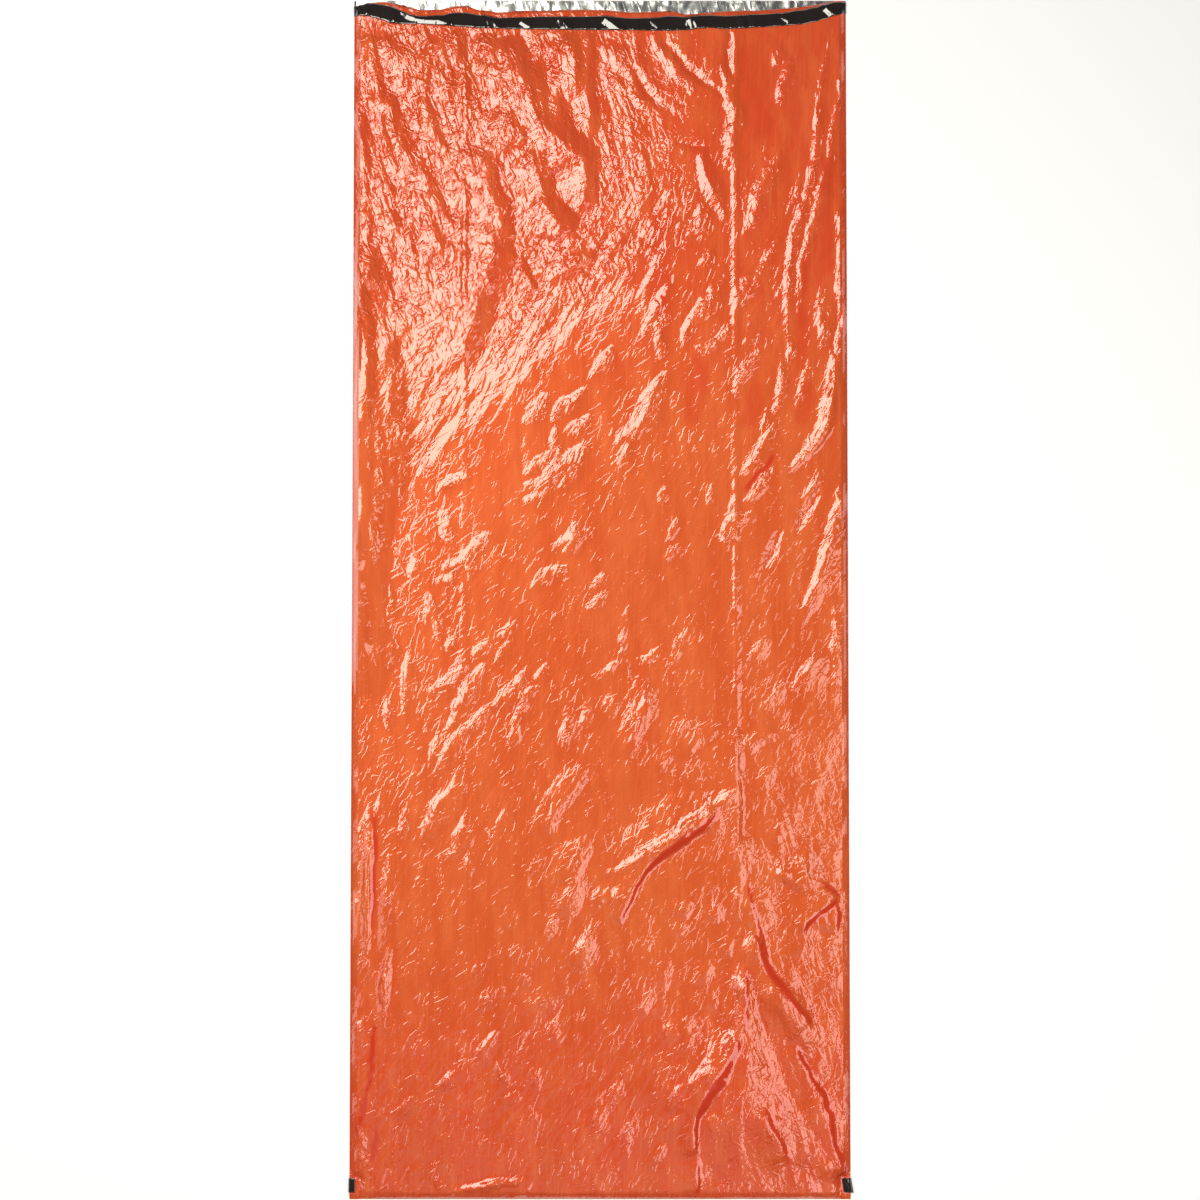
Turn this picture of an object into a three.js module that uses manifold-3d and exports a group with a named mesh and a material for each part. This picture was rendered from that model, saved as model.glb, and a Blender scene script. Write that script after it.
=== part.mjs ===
// Bivy bag of thin metallised film, lying on its back with the mouth towards +Y.
// Millimetres, +Z up. The origin is under the middle of the bag, on the surface it lies on.
import * as THREE from "three";
import { mergeVertices } from "three/addons/utils/BufferGeometryUtils.js";
import Module from "manifold-3d";

const wasm = await Module();
wasm.setup();

// Driving dimensions
const bagLength = 2130; // foot to mouth
const headWidth = 873; // across the mouth, lying slack
const footWidth = 891; // across the foot
const filmThick = 1.5;
const seatGap = 0.3; // between pieces that lie on each other
const sealWidth = 12; // flat welded strip down both sides and across the foot
const sealRise = 55; // width over which the film lifts off the seal
const cavityLift = 13; // slack front film above the back panel
const leastLift = 8; // a valley's underside above the back panel
const tapeWidth = 25;
const tapeThick = 1;
const tapeLap = 6; // overlap of the tape's turned end with its run
const footTapeFromFoot = 25; // middle of each foot tape above the foot
const footTapes = [
  { name: "foot_tape_left", side: -1, reach: 10, tilt: 0 },
  { name: "foot_tape_right", side: 1, reach: 15, tilt: 9 },
];

// The front film's grid of cells. Row 0 is the mouth edge, and the next rows carry the tape.
const across = 40;
const along = 58;
const tapeRows = 2;
const tapeFirstRow = 1;
const tapeLastRow = tapeFirstRow + tapeRows;
const edgeCrowding = 0.4; // 0 spaces the columns evenly, 1 crowds them most at the sides

const mouthY = bagLength / 2;
const footY = -bagLength / 2;
const filmBase = filmThick + seatGap; // underside of the front film at its seal
const sealTop = filmBase + filmThick;

// How far the front film's edge and its tape hang back from the straight mouth of the back panel
const mouthSag = namedRows(["x", "edge", "tape"], [
  [-437, 2, 4],
  [-408, 3, 7],
  [-364, 4, 13],
  [-325, 17, 23],
  [-285, 16, 23],
  [-249, 9, 22],
  [-200, 19, 28],
  [-124, 18, 29],
  [-18, 15, 28],
  [60, 21, 31],
  [124, 18, 29],
  [154, 24, 31],
  [195, 21, 28],
  [284, 18, 25],
  [340, 13, 21],
  [382, 8, 14],
  [408, 3, 7],
  [437, 2, 4],
]);

// Main folds of the front film. Each runs between two ends, bowed sideways by bow, and rises by
// height, or sinks where that is negative, over a half width of spread.
const foldColumns = ["x1", "y1", "x2", "y2", "bow", "spread", "height"];

const mouthFolds = namedRows(foldColumns, [
  [-418, 990, -404, 560, 0, 15, -5],
  [-388, 1000, -258, 650, -12, 20, 10],
  [-384, 880, -268, 610, -10, 17, -5],
  [-298, 970, -292, 830, 0, 16, 7],
  [-246, 890, -240, 700, 0, 22, 7],
  [-188, 1010, -128, 870, -6, 15, 9],
  [-200, 985, -152, 800, 6, 18, -5],
  [-118, 830, -44, 640, 8, 20, -5],
  [0, 990, 82, 868, 8, 20, 10],
  [62, 1000, 106, 890, -8, 14, 9],
  [97, 1005, 160, 900, -6, 14, 10],
  [66, 920, 166, 842, 0, 16, -5],
  [112, 990, 330, 872, -14, 17, -5],
  [216, 950, 230, 772, 8, 16, 9],
  [176, 800, 226, 680, -6, 16, 9],
]);

const leftFolds = namedRows(foldColumns, [
  [-376, 880, -372, 420, 8, 18, 9],
  [-146, 590, -150, 450, 6, 20, 7],
  [-6, 560, -130, 470, 0, 26, 9],
  [-286, 560, -300, 300, 0, 24, 8],
  [-25, 262, -132, 196, 4, 17, 10],
  [-206, 112, -236, 44, 0, 14, 7],
  [-46, 132, -112, 30, 0, 15, 9],
  [-346, -90, -350, -205, 0, 14, 8],
  [-248, -96, -312, -166, -8, 15, 8],
  [-202, -112, -272, -240, 0, 16, 9],
  [-132, -128, -202, -192, 0, 15, 8],
  [-236, -214, -292, -312, -6, 15, 10],
  [-244, -298, -324, -424, -6, 16, 11],
  [-236, -378, -272, -452, 0, 15, 9],
  [-406, -370, -418, -660, 0, 14, 8],
  [-376, -440, -394, -780, 0, 14, 9],
  [-402, -770, -430, -950, -6, 14, -5],
  [-180, -758, -362, -906, -10, 16, 9],
  [-8, -868, -8, -962, 0, 13, 7],
]);

const rightFolds = namedRows(foldColumns, [
  [408, 1000, 334, 600, 14, 15, 11],
  [336, 600, 332, 412, 0, 15, 9],
  [424, 950, 352, 560, 14, 13, 9],
  [316, 800, 248, 630, 0, 22, 8],
  [298, 640, 242, 510, -8, 18, 8],
  [216, 566, 148, 466, 0, 18, 11],
  [112, 420, 30, 262, 6, 22, 12],
  [398, 400, 334, 246, 14, 17, 12],
  [320, 420, 254, 214, 16, 14, 10],
  [424, 180, 350, -20, 8, 18, 11],
  [396, -94, 340, -162, 0, 15, 9],
  [40, -164, 4, -242, 0, 16, 9],
  [108, -154, 60, -272, 0, 19, 10],
  [-16, -298, -92, -416, 0, 18, 11],
  [-20, -428, -50, -580, 0, 24, 9],
]);

const footFolds = namedRows(foldColumns, [
  [240, -240, 246, -640, 0, 16, 10],
  [216, -360, 4, -488, -8, 17, 11],
  [214, -376, 30, -592, 18, 16, -5],
  [320, -236, 256, -268, 0, 15, 8],
  [310, -400, 430, -470, 10, 16, 9],
  [380, -436, 368, -540, 0, 22, 8],
  [430, -534, 356, -600, 8, 14, -5],
  [262, -560, 386, -772, -6, 15, -5],
  [286, -556, 402, -776, -6, 15, 9],
  [252, -770, 176, -920, -12, 16, -5],
  [176, -920, 180, -1040, 0, 16, -5],
  [264, -740, 372, -960, 0, 24, 10],
  [364, -810, 426, -1000, 8, 15, -5],
  [190, -800, 94, -992, 6, 16, 9],
]);

const folds = [...mouthFolds, ...leftFolds, ...rightFolds, ...footFolds];

function namedRows(columns, rows) {
  return rows.map((row) => Object.fromEntries(row.map((value, i) => [columns[i], value])));
}

function finish(color, roughness, metalness) {
  return new THREE.MeshStandardMaterial({ color, roughness, metalness });
}

const orangeFilm = finish(0xe8683a, 0.3, 0.3);
const silverFilm = finish(0xb4b2b0, 0.25, 0.9);
const blackTape = finish(0x1c1512, 0.3, 0);

function halfWidth(y) {
  return THREE.MathUtils.mapLinear(y, footY, mouthY, footWidth, headWidth) / 2;
}

// Sag of the mouth at x, eased between the rows of the table
function sagAt(x, column) {
  const next = mouthSag.findIndex((row) => row.x > x);
  if (next < 0) return mouthSag.at(-1)[column];
  if (next === 0) return mouthSag[0][column];
  const [a, b] = [mouthSag[next - 1], mouthSag[next]];
  return THREE.MathUtils.lerp(a[column], b[column], THREE.MathUtils.smoothstep(x, a.x, b.x));
}

// Distance from a point to a fold's bowed centre line
function distanceToFold(fold, x, y) {
  const runX = fold.x2 - fold.x1;
  const runY = fold.y2 - fold.y1;
  const run = Math.hypot(runX, runY);
  const t = ((x - fold.x1) * runX + (y - fold.y1) * runY) / run ** 2;
  const held = THREE.MathUtils.clamp(t, 0, 1);
  const aside = ((x - fold.x1) * runY - (y - fold.y1) * runX) / run;
  const bowed = aside - fold.bow * 4 * held * (1 - held);
  return Math.hypot(bowed, (t - held) * run);
}

// Height of the front film's underside above its seal
function lift(x, y) {
  const fromSide = halfWidth(y) - Math.abs(x) - sealWidth;
  const fromFoot = y - footY - sealWidth;
  const rise = THREE.MathUtils.smoothstep(fromSide, 0, sealRise) *
    THREE.MathUtils.smoothstep(fromFoot, 0, sealRise);
  let height = cavityLift;
  for (const fold of folds) {
    height += fold.height * Math.exp(-((distanceToFold(fold, x, y) / fold.spread) ** 2));
  }
  return rise * Math.max(leastLift, height);
}

function columnX(column, y) {
  const half = halfWidth(y);
  if (column === 0) return -half;
  if (column === across) return half;
  const even = (2 * (column - 1)) / (across - 2) - 1;
  const crowded = Math.sin((even * Math.PI) / 2);
  return (half - sealWidth) * THREE.MathUtils.lerp(even, crowded, edgeCrowding);
}

function rowY(row, x) {
  const tapeTop = mouthY - sagAt(x, "tape");
  if (row < tapeFirstRow) return mouthY - sagAt(x, "edge");
  if (row <= tapeLastRow) return tapeTop - (tapeWidth * (row - tapeFirstRow)) / tapeRows;
  if (row === along) return footY;
  return THREE.MathUtils.mapLinear(row, tapeLastRow, along - 1, tapeTop - tapeWidth, footY + sealWidth);
}

// Point of the front film's underside at a column and row of its grid
function filmPoint(column, row) {
  const y = rowY(row, columnX(column, mouthY));
  const x = columnX(column, y);
  return new THREE.Vector3(x, y, filmBase + lift(x, y));
}

// Closed sheet over a span of the grid's rows: a plane's triangles below and above, joined by a rim
function sheetOverRows(firstRow, lastRow, raisedBy, thick) {
  const rows = lastRow - firstRow;
  const plane = new THREE.PlaneGeometry(1, 1, across, rows);
  const points = plane.getAttribute("position");
  const wide = across + 1;
  const upper = points.count;
  const positions = new Float32Array(upper * 6);
  for (let i = 0; i < upper; i++) {
    const point = filmPoint(i % wide, firstRow + Math.floor(i / wide));
    point.z += raisedBy;
    point.toArray(positions, i * 3);
    point.z += thick;
    point.toArray(positions, (upper + i) * 3);
  }
  const triangles = [];
  const cells = plane.getIndex().array;
  for (let i = 0; i < cells.length; i += 3) {
    const [a, b, c] = cells.subarray(i, i + 3);
    triangles.push(a, c, b, upper + a, upper + b, upper + c);
  }
  const rim = [];
  for (let row = 0; row < rows; row++) rim.push(row * wide);
  for (let column = 0; column < across; column++) rim.push(rows * wide + column);
  for (let row = rows; row > 0; row--) rim.push(row * wide + across);
  for (let column = across; column > 0; column--) rim.push(column);
  rim.forEach((from, i) => {
    const to = rim[(i + 1) % rim.length];
    triangles.push(from, to, upper + to, from, upper + to, upper + from);
  });
  const sheet = new THREE.BufferGeometry();
  sheet.setAttribute("position", new THREE.BufferAttribute(positions, 3));
  return sheet.setIndex(triangles);
}

// Tape turned down over a side edge: a lap on the seal and a leg to the surface, length along Y.
// The outer face of the film's edge is at x = 0 and the film lies towards -X.
function turnedTape(reach, length, clearance) {
  const outer = clearance + tapeThick;
  const section = new THREE.Shape([
    new THREE.Vector2(-reach, sealTop + seatGap),
    new THREE.Vector2(clearance, sealTop + seatGap),
    new THREE.Vector2(clearance, 0),
    new THREE.Vector2(outer, 0),
    new THREE.Vector2(outer, sealTop + seatGap + tapeThick),
    new THREE.Vector2(-reach, sealTop + seatGap + tapeThick),
  ]);
  const turned = new THREE.ExtrudeGeometry(section, { depth: length, bevelEnabled: false });
  return turned.rotateX(Math.PI / 2).translate(0, length / 2, 0);
}

function toSolid(geometry) {
  const bare = geometry.clone().deleteAttribute("normal").deleteAttribute("uv");
  const merged = mergeVertices(bare, 1e-4);
  return new wasm.Manifold(new wasm.Mesh({
    numProp: 3,
    vertProperties: merged.getAttribute("position").array,
    triVerts: Uint32Array.from(merged.getIndex().array),
  }));
}

function toGeometry(solid) {
  const mesh = solid.getMesh();
  const geometry = new THREE.BufferGeometry();
  geometry.setAttribute("position", new THREE.BufferAttribute(mesh.vertProperties, 3));
  return geometry.setIndex(new THREE.BufferAttribute(mesh.triVerts, 1));
}

function named(name, geometry, material) {
  geometry.computeVertexNormals();
  const mesh = new THREE.Mesh(geometry, material);
  mesh.name = name;
  return mesh;
}

function makeFrontPanel() {
  return named("front_panel", sheetOverRows(0, along, 0, filmThick), orangeFilm);
}

function makeBackPanel() {
  const outline = new THREE.Shape([
    new THREE.Vector2(-footWidth / 2, footY),
    new THREE.Vector2(footWidth / 2, footY),
    new THREE.Vector2(headWidth / 2, mouthY),
    new THREE.Vector2(-headWidth / 2, mouthY),
  ]);
  const sheet = new THREE.ExtrudeGeometry(outline, { depth: filmThick, bevelEnabled: false });
  return named("back_panel", sheet, silverFilm);
}

function makeMouthTape() {
  const raisedBy = filmThick + seatGap;
  let tape = toSolid(sheetOverRows(tapeFirstRow, tapeLastRow, raisedBy, tapeThick));
  for (const side of [-1, 1]) {
    const tapeMiddle = mouthY - sagAt(side * headWidth, "tape") - tapeWidth / 2;
    const end = turnedTape(tapeLap, tapeWidth, seatGap);
    if (side < 0) end.rotateZ(Math.PI);
    end.translate(side * halfWidth(tapeMiddle), tapeMiddle, 0);
    tape = tape.add(toSolid(end));
  }
  return named("mouth_tape", toGeometry(tape), blackTape);
}

function makeFootTape({ name, side, reach, tilt }) {
  const turn = THREE.MathUtils.degToRad(tilt);
  const clearance = seatGap + (Math.sin(turn) * tapeWidth) / 2;
  const tape = named(name, turnedTape(reach, tapeWidth, clearance), blackTape);
  const y = footY + footTapeFromFoot;
  tape.position.set(side * halfWidth(y), y, 0);
  tape.rotation.z = side < 0 ? Math.PI - turn : turn;
  return tape;
}

const bivyBag = new THREE.Group();
bivyBag.add(makeBackPanel(), makeFrontPanel(), makeMouthTape(), ...footTapes.map(makeFootTape));

export default bivyBag;
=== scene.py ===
import math

import bmesh
import bpy
import numpy as np
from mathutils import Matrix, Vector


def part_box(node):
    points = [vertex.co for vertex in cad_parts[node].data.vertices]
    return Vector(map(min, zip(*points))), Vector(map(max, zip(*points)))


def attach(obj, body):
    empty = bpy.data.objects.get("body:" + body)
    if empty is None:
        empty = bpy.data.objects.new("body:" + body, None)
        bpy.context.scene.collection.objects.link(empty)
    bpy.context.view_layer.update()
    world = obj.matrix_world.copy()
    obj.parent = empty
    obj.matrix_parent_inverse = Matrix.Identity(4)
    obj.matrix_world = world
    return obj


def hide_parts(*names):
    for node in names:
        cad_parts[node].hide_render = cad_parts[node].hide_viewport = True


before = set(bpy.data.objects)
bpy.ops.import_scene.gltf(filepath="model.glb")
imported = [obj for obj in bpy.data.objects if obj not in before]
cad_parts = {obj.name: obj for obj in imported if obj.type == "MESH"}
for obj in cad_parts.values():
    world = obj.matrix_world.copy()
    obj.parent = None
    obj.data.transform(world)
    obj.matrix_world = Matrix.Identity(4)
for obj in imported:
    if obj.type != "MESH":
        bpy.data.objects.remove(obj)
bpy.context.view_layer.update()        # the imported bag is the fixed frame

mm = 0.001  # tables and heights below are in millimetres
tiny = 1e-6  # keeps a sum of weights off zero

backLow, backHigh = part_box("back_panel")
bag = {
    "footY": backLow.y / mm,
    "mouthY": backHigh.y / mm,
    "footHalf": backHigh.x / mm,
    "headHalf": 436.5,  # half the width across the mouth
    "floorGap": 0.2,  # under the back film
}


def namedRows(columns, rows):
    return [dict(zip(columns.split(), row)) for row in rows]


def easeStep(value, low, high):
    t = np.clip((value - low) / (high - low), 0, 1)
    return t * t * (3 - 2 * t)


def halfWidth(y):
    return np.interp(y, [bag["footY"], bag["mouthY"]], [bag["footHalf"], bag["headHalf"]])


# how far the front film's edge and the tape's two edges hang back from the straight back edge
mouthSag = namedRows("x edge tapeTop tapeLow", [
    (-437, 9, 10, 28), (-424, 8, 9, 28), (-412, 4, 6, 29), (-400, 3, 6, 32), (-385, 3, 8, 36),
    (-369, 4, 12, 42), (-350, 8, 20, 43), (-337, 12, 26, 43), (-320, 17, 29, 43), (-284, 16, 27, 45),
    (-257, 10, 22, 47), (-240, 9, 22, 48), (-213, 17, 26, 50), (-178, 21, 31, 51), (-142, 18, 30, 52),
    (-107, 18, 29, 52.5), (-36, 16, 29, 53.5), (9, 17, 28, 54), (53, 21, 32, 54), (98, 20, 31, 55),
    (124, 18, 28, 55), (154, 25, 30, 54), (178, 23, 27, 51), (195, 21, 27, 50), (222, 19, 28, 52),
    (249, 18, 27, 51), (284, 18, 25, 49), (320, 15, 23, 46.5), (355, 12, 18, 44), (382, 8, 13, 39),
    (400, 4, 7, 34), (417, 1.5, 3.5, 28), (436, 1, 3, 23),
])


def sagAt(x, column):
    xs = np.array([row["x"] for row in mouthSag], float)
    drops = np.array([row[column] for row in mouthSag], float)
    i = np.clip(np.searchsorted(xs, x) - 1, 0, len(xs) - 2)
    t = easeStep(x, xs[i], xs[i + 1])
    return drops[i] + (drops[i + 1] - drops[i]) * t


# folds follow points from the mouth end to the foot end; right and left are the widths of their two flanks
def foldRows(rows):
    return namedRows("height right left points", rows)


# turned bands near the mouth: flanks that face up and right, given by points and widths of a middle line
turnedBands = [
    [(-431, 1012, 9), (-430, 950, 11), (-427, 925, 11), (-423, 900, 14), (-420, 850, 20),
     (-414, 825, 20), (-411, 800, 18), (-407, 750, 16), (-408, 725, 19), (-405, 650, 17),
     (-403, 625, 20), (-400, 600, 24), (-395, 575, 22), (-388, 550, 14)],
    [(-405, 1014, 18), (-402, 1000, 19), (-396, 975, 20), (-391, 950, 20), (-388, 925, 20),
     (-384, 900, 18), (-366, 880, 16), (-359, 850, 18), (-347, 825, 24), (-333, 795, 24),
     (-316, 772, 26), (-304, 750, 14), (-297, 725, 17), (-300, 700, 28), (-296, 675, 26),
     (-285, 650, 25), (-279, 625, 18), (-272, 605, 14)],
    [(-332, 757, 10), (-331, 735, 13), (-324, 715, 13), (-312, 697, 12)],
    [(-391, 905, 8), (-390, 880, 9), (-388, 855, 8)],
    [(-368, 1012, 20), (-366, 995, 20), (-360, 980, 20), (-354, 960, 10), (-352, 935, 8)],
    [(-334, 990, 14), (-338, 965, 14), (-339, 925, 10), (-344, 893, 8)],
    [(-304, 985, 8), (-303, 920, 8), (-298, 870, 8), (-297, 840, 9), (-283, 818, 12), (-264, 800, 12),
     (-255, 768, 9), (-249, 738, 9), (-246, 700, 8)],
    [(-328, 905, 8), (-312, 880, 8), (-306, 850, 8), (-302, 825, 8)],
    [(-281, 1012, 12), (-280, 985, 14), (-277, 960, 22), (-270, 935, 30), (-263, 905, 20),
     (-257, 878, 10)],
    [(-262, 932, 24), (-240, 918, 26), (-222, 915, 22)],
    [(-258, 1006, 10), (-252, 985, 10), (-248, 960, 9), (-247, 938, 8)],
    [(-197, 1010, 18), (-188, 975, 16), (-183, 950, 22), (-170, 925, 19), (-159, 900, 16),
     (-161, 875, 22), (-158, 850, 22), (-147, 825, 32), (-145, 805, 34), (-143, 782, 22)],
    [(-202, 928, 9), (-192, 905, 10), (-182, 885, 9), (-176, 872, 8)],
    [(-176, 1005, 8), (-168, 978, 8), (-160, 955, 8), (-152, 930, 8), (-144, 910, 8), (-140, 865, 8)],
    [(-152, 1010, 14), (-142, 980, 30), (-130, 950, 38), (-112, 925, 46), (-95, 900, 60),
     (-88, 870, 60), (-72, 845, 46), (-52, 825, 40), (-30, 808, 40), (-14, 785, 30), (-12, 750, 24),
     (-14, 710, 22), (-28, 680, 16)],
    [(-58, 1010, 22), (-40, 985, 26), (-32, 955, 26), (-30, 920, 30), (-30, 885, 24)],
    [(-8, 1010, 14), (-12, 980, 16), (-14, 945, 16), (-12, 900, 16), (-10, 860, 16), (-8, 820, 20)],
    [(-191, 803, 20), (-195, 775, 28), (-193, 750, 28), (-185, 725, 26), (-171, 702, 24),
     (-162, 685, 22), (-163, 660, 26), (-170, 640, 34), (-168, 615, 40), (-172, 590, 46),
     (-178, 560, 46), (-196, 532, 44), (-203, 500, 44), (-216, 466, 40), (-228, 436, 28),
     (-236, 408, 12)],
    [(-113, 805, 20), (-111, 778, 20), (-96, 757, 26), (-90, 730, 23), (-85, 705, 27), (-66, 686, 32),
     (-54, 668, 42), (-52, 640, 44), (-60, 618, 36)],
    [(-384, 785, 8), (-381, 750, 8), (-372, 735, 9), (-366, 715, 9), (-361, 695, 8)],
    [(-372, 702, 8), (-366, 680, 8), (-357, 662, 8), (-352, 645, 8)],
    [(-331, 672, 10), (-331, 640, 14), (-327, 620, 15), (-321, 598, 16), (-322, 570, 14),
     (-328, 530, 10)],
    [(-287, 732, 8), (-283, 710, 8), (-271, 690, 9), (-258, 670, 9), (-250, 648, 8)],
    [(-262, 645, 18), (-258, 620, 22), (-252, 598, 18)],
    [(-434, 655, 8), (-432, 625, 10), (-432, 600, 12), (-424, 565, 14), (-413, 530, 16),
     (-405, 495, 18), (-404, 440, 16), (-410, 390, 14), (-413, 340, 10), (-411, 295, 8)],
    [(-396, 640, 40), (-400, 560, 64), (-400, 480, 78), (-393, 410, 94), (-386, 350, 104),
     (-385, 290, 108), (-388, 220, 100), (-402, 150, 74), (-404, 0, 66), (-395, -180, 60)],
    [(-140, 622, 12), (-131, 590, 12), (-120, 562, 12), (-104, 540, 10)],
    [(-4, 606, 14), (-45, 583, 18), (-80, 566, 18), (-94, 552, 12)],
    [(-436, 160, 8), (-428, 110, 9), (-424, 70, 9), (-424, 20, 9), (-418, -40, 9), (-412, -100, 8)],
]

mouthLeftFolds = foldRows([
    (1.8, 8, 7, [(-183, 1010), (-172, 960), (-155, 915), (-146, 875)]),
    (2.0, 9, 7, [(-171, 1000), (-155, 960), (-143, 930), (-130, 900), (-125, 885)]),
    (2.0, 9, 8, [(-113, 992), (-104, 958)]),
    (2.0, 8, 7, [(-106, 952), (-84, 918)]),
    (1.6, 8, 7, [(-91, 986), (-80, 968)]),
    (2.4, 10, 8, [(-76, 1001), (-60, 984), (-45, 964)]),
    (2.0, 8, 7, [(-71, 966), (-50, 939)]),
    (1.8, 8, 7, [(-81, 931), (-68, 909)]),
])

mouthRightFolds = foldRows([
    (-3.5, 8, 9, [(104, 1002), (130, 974), (152, 946), (175, 926), (200, 908), (220, 892)]),
    (-3, 8, 8, [(48, 955), (66, 928), (84, 900), (106, 874), (134, 857)]),
    (-3.5, 8, 8, [(228, 1014), (229, 985), (227, 950), (234, 925)]),
    (2.8, 18, 15, [(-4, 988), (20, 965), (42, 945), (60, 928)]),
    (1.4, 11, 10, [(26, 920), (52, 902), (68, 886), (84, 868)]),
    (2.0, 10, 10, [(66, 1006), (60, 975), (66, 950), (80, 925), (95, 905), (106, 886)]),
    (2.2, 11, 12, [(96, 1010), (103, 980), (118, 955), (135, 935), (150, 915), (163, 900)]),
    (3.0, 17, 10, [(216, 952), (224, 920), (232, 890), (238, 862), (233, 830), (229, 800), (224, 772)]),
    (1.2, 9, 8, [(218, 952), (200, 941), (182, 934)]),
    (3.0, 17, 10, [(182, 802), (178, 786), (186, 760), (196, 738), (206, 714), (216, 694), (224, 676)]),
    (-2.5, 9, 9, [(140, 812), (165, 806), (184, 806)]),
    (2.6, 15, 12, [(338, 962), (331, 932), (323, 906), (317, 882)]),
    (1.7, 15, 9, [(318, 975), (312, 955)]),
    (2.5, 10, 9, [(412, 1004), (401, 980), (396, 950), (392, 915), (388, 885), (384, 855), (384, 815),
                  (376, 765), (367, 728), (357, 698), (349, 665), (341, 632), (335, 600), (332, 560),
                  (330, 510), (329, 465)]),
    (2.7, 10, 10, [(427, 940), (421, 890), (415, 840), (407, 798), (396, 755), (385, 712), (373, 662),
                   (362, 628), (355, 590), (350, 550), (346, 500)]),
    (3.2, 15, 14, [(320, 802), (308, 776), (298, 755), (284, 733), (276, 702), (268, 680), (250, 642)]),
    (0.9, 8, 8, [(353, 757), (345, 725), (334, 692)]),
    (1.2, 9, 9, [(176, 702), (180, 676), (174, 648)]),
    (1.4, 8, 8, [(422, 684), (428, 655), (432, 640)]),
])

upperFolds = foldRows([
    (1.0, 8, 8, [(-417, 570), (-409, 480), (-413, 400), (-409, 300), (-414, 220)]),
    (0.8, 8, 8, [(-373, 520), (-368, 420), (-374, 330), (-370, 250), (-377, 160)]),
    (0.8, 8, 8, [(-352, 430), (-357, 330), (-352, 240), (-359, 150)]),
    (0.8, 8, 8, [(-396, 350), (-392, 260), (-398, 160), (-394, 60)]),
    (1.8, 11, 12, [(-100, 358), (-112, 340), (-130, 320)]),
    (2.0, 12, 12, [(-28, 374), (-50, 354), (-70, 340), (-79, 320)]),
    (1.2, 8, 10, [(-24, 323), (-52, 304)]),
    (2.7, 19, 20, [(-24, 280), (-45, 258), (-80, 230), (-100, 212), (-132, 200)]),
    (1.4, 9, 9, [(-90, 256), (-108, 244), (-128, 224)]),
    (1.4, 9, 9, [(-240, 219), (-262, 214), (-280, 198)]),
    (1.2, 8, 9, [(-78, 302), (-80, 278), (-75, 262)]),
    (2.1, 13, 14, [(122, 556), (108, 535), (95, 520), (84, 502)]),
    (1.4, 9, 9, [(118, 502), (100, 492), (82, 480)]),
    (1.5, 10, 9, [(100, 482), (103, 460), (105, 442), (100, 428)]),
    (3.2, 20, 18, [(120, 404), (100, 386), (90, 365), (82, 343), (72, 325), (56, 305), (40, 288),
                   (28, 272)]),
    (1.4, 9, 9, [(44, 268), (38, 242)]),
    (2.4, 14, 15, [(216, 567), (203, 550), (195, 535), (180, 520), (168, 505), (158, 490)]),
    (1.7, 9, 9, [(155, 497), (150, 478), (147, 458)]),
    (2.2, 14, 14, [(302, 602), (285, 590), (270, 575), (258, 560), (250, 546), (244, 530), (241, 508)]),
    (1.6, 9, 9, [(312, 638), (298, 618), (290, 605)]),
    (2.4, 10, 10, [(292, 452), (275, 435), (262, 420), (250, 405), (245, 388), (243, 360)]),
    (2.4, 9, 9, [(320, 430), (321, 400), (321, 370), (317, 352), (310, 338), (303, 322)]),
    (2.8, 10, 10, [(320, 328), (308, 308), (298, 294), (290, 278), (282, 260), (272, 246), (250, 214)]),
    (2.4, 9, 9, [(302, 232), (285, 210), (272, 190), (264, 176)]),
    (1.7, 8, 8, [(335, 468), (336, 440), (331, 412)]),
    (3.0, 9, 9, [(424, 640), (426, 600), (425, 560), (428, 530), (432, 505), (428, 478), (422, 450),
                 (419, 420), (415, 385), (413, 355), (410, 318)]),
    (2.4, 15, 12, [(396, 562), (390, 532), (392, 500), (396, 470), (390, 440)]),
    (5.6, 24, 5, [(412, 440), (416, 389), (412, 350), (405, 312), (390, 285), (369, 261), (350, 243),
                  (330, 226)]),
    (1.8, 9, 10, [(376, 418), (365, 395), (357, 374), (348, 342)]),
    (1.7, 8, 8, [(390, 226), (377, 204), (364, 189), (353, 175)]),
    (1.4, 8, 8, [(296, 336), (292, 315), (289, 298)]),
    (1.8, 12, 12, [(18, 446), (6, 418), (-12, 400)]),
    (2.5, 18, 15, [(74, 642), (56, 615), (40, 592), (20, 580), (-2, 568)]),
    (1.2, 7, 8, [(210, 466), (180, 448)]),
    (1.2, 7, 8, [(230, 482), (213, 467)]),
    (1.2, 7, 8, [(277, 472), (260, 459)]),
    (1.4, 9, 9, [(196, 618), (182, 598)]),
])

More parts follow.
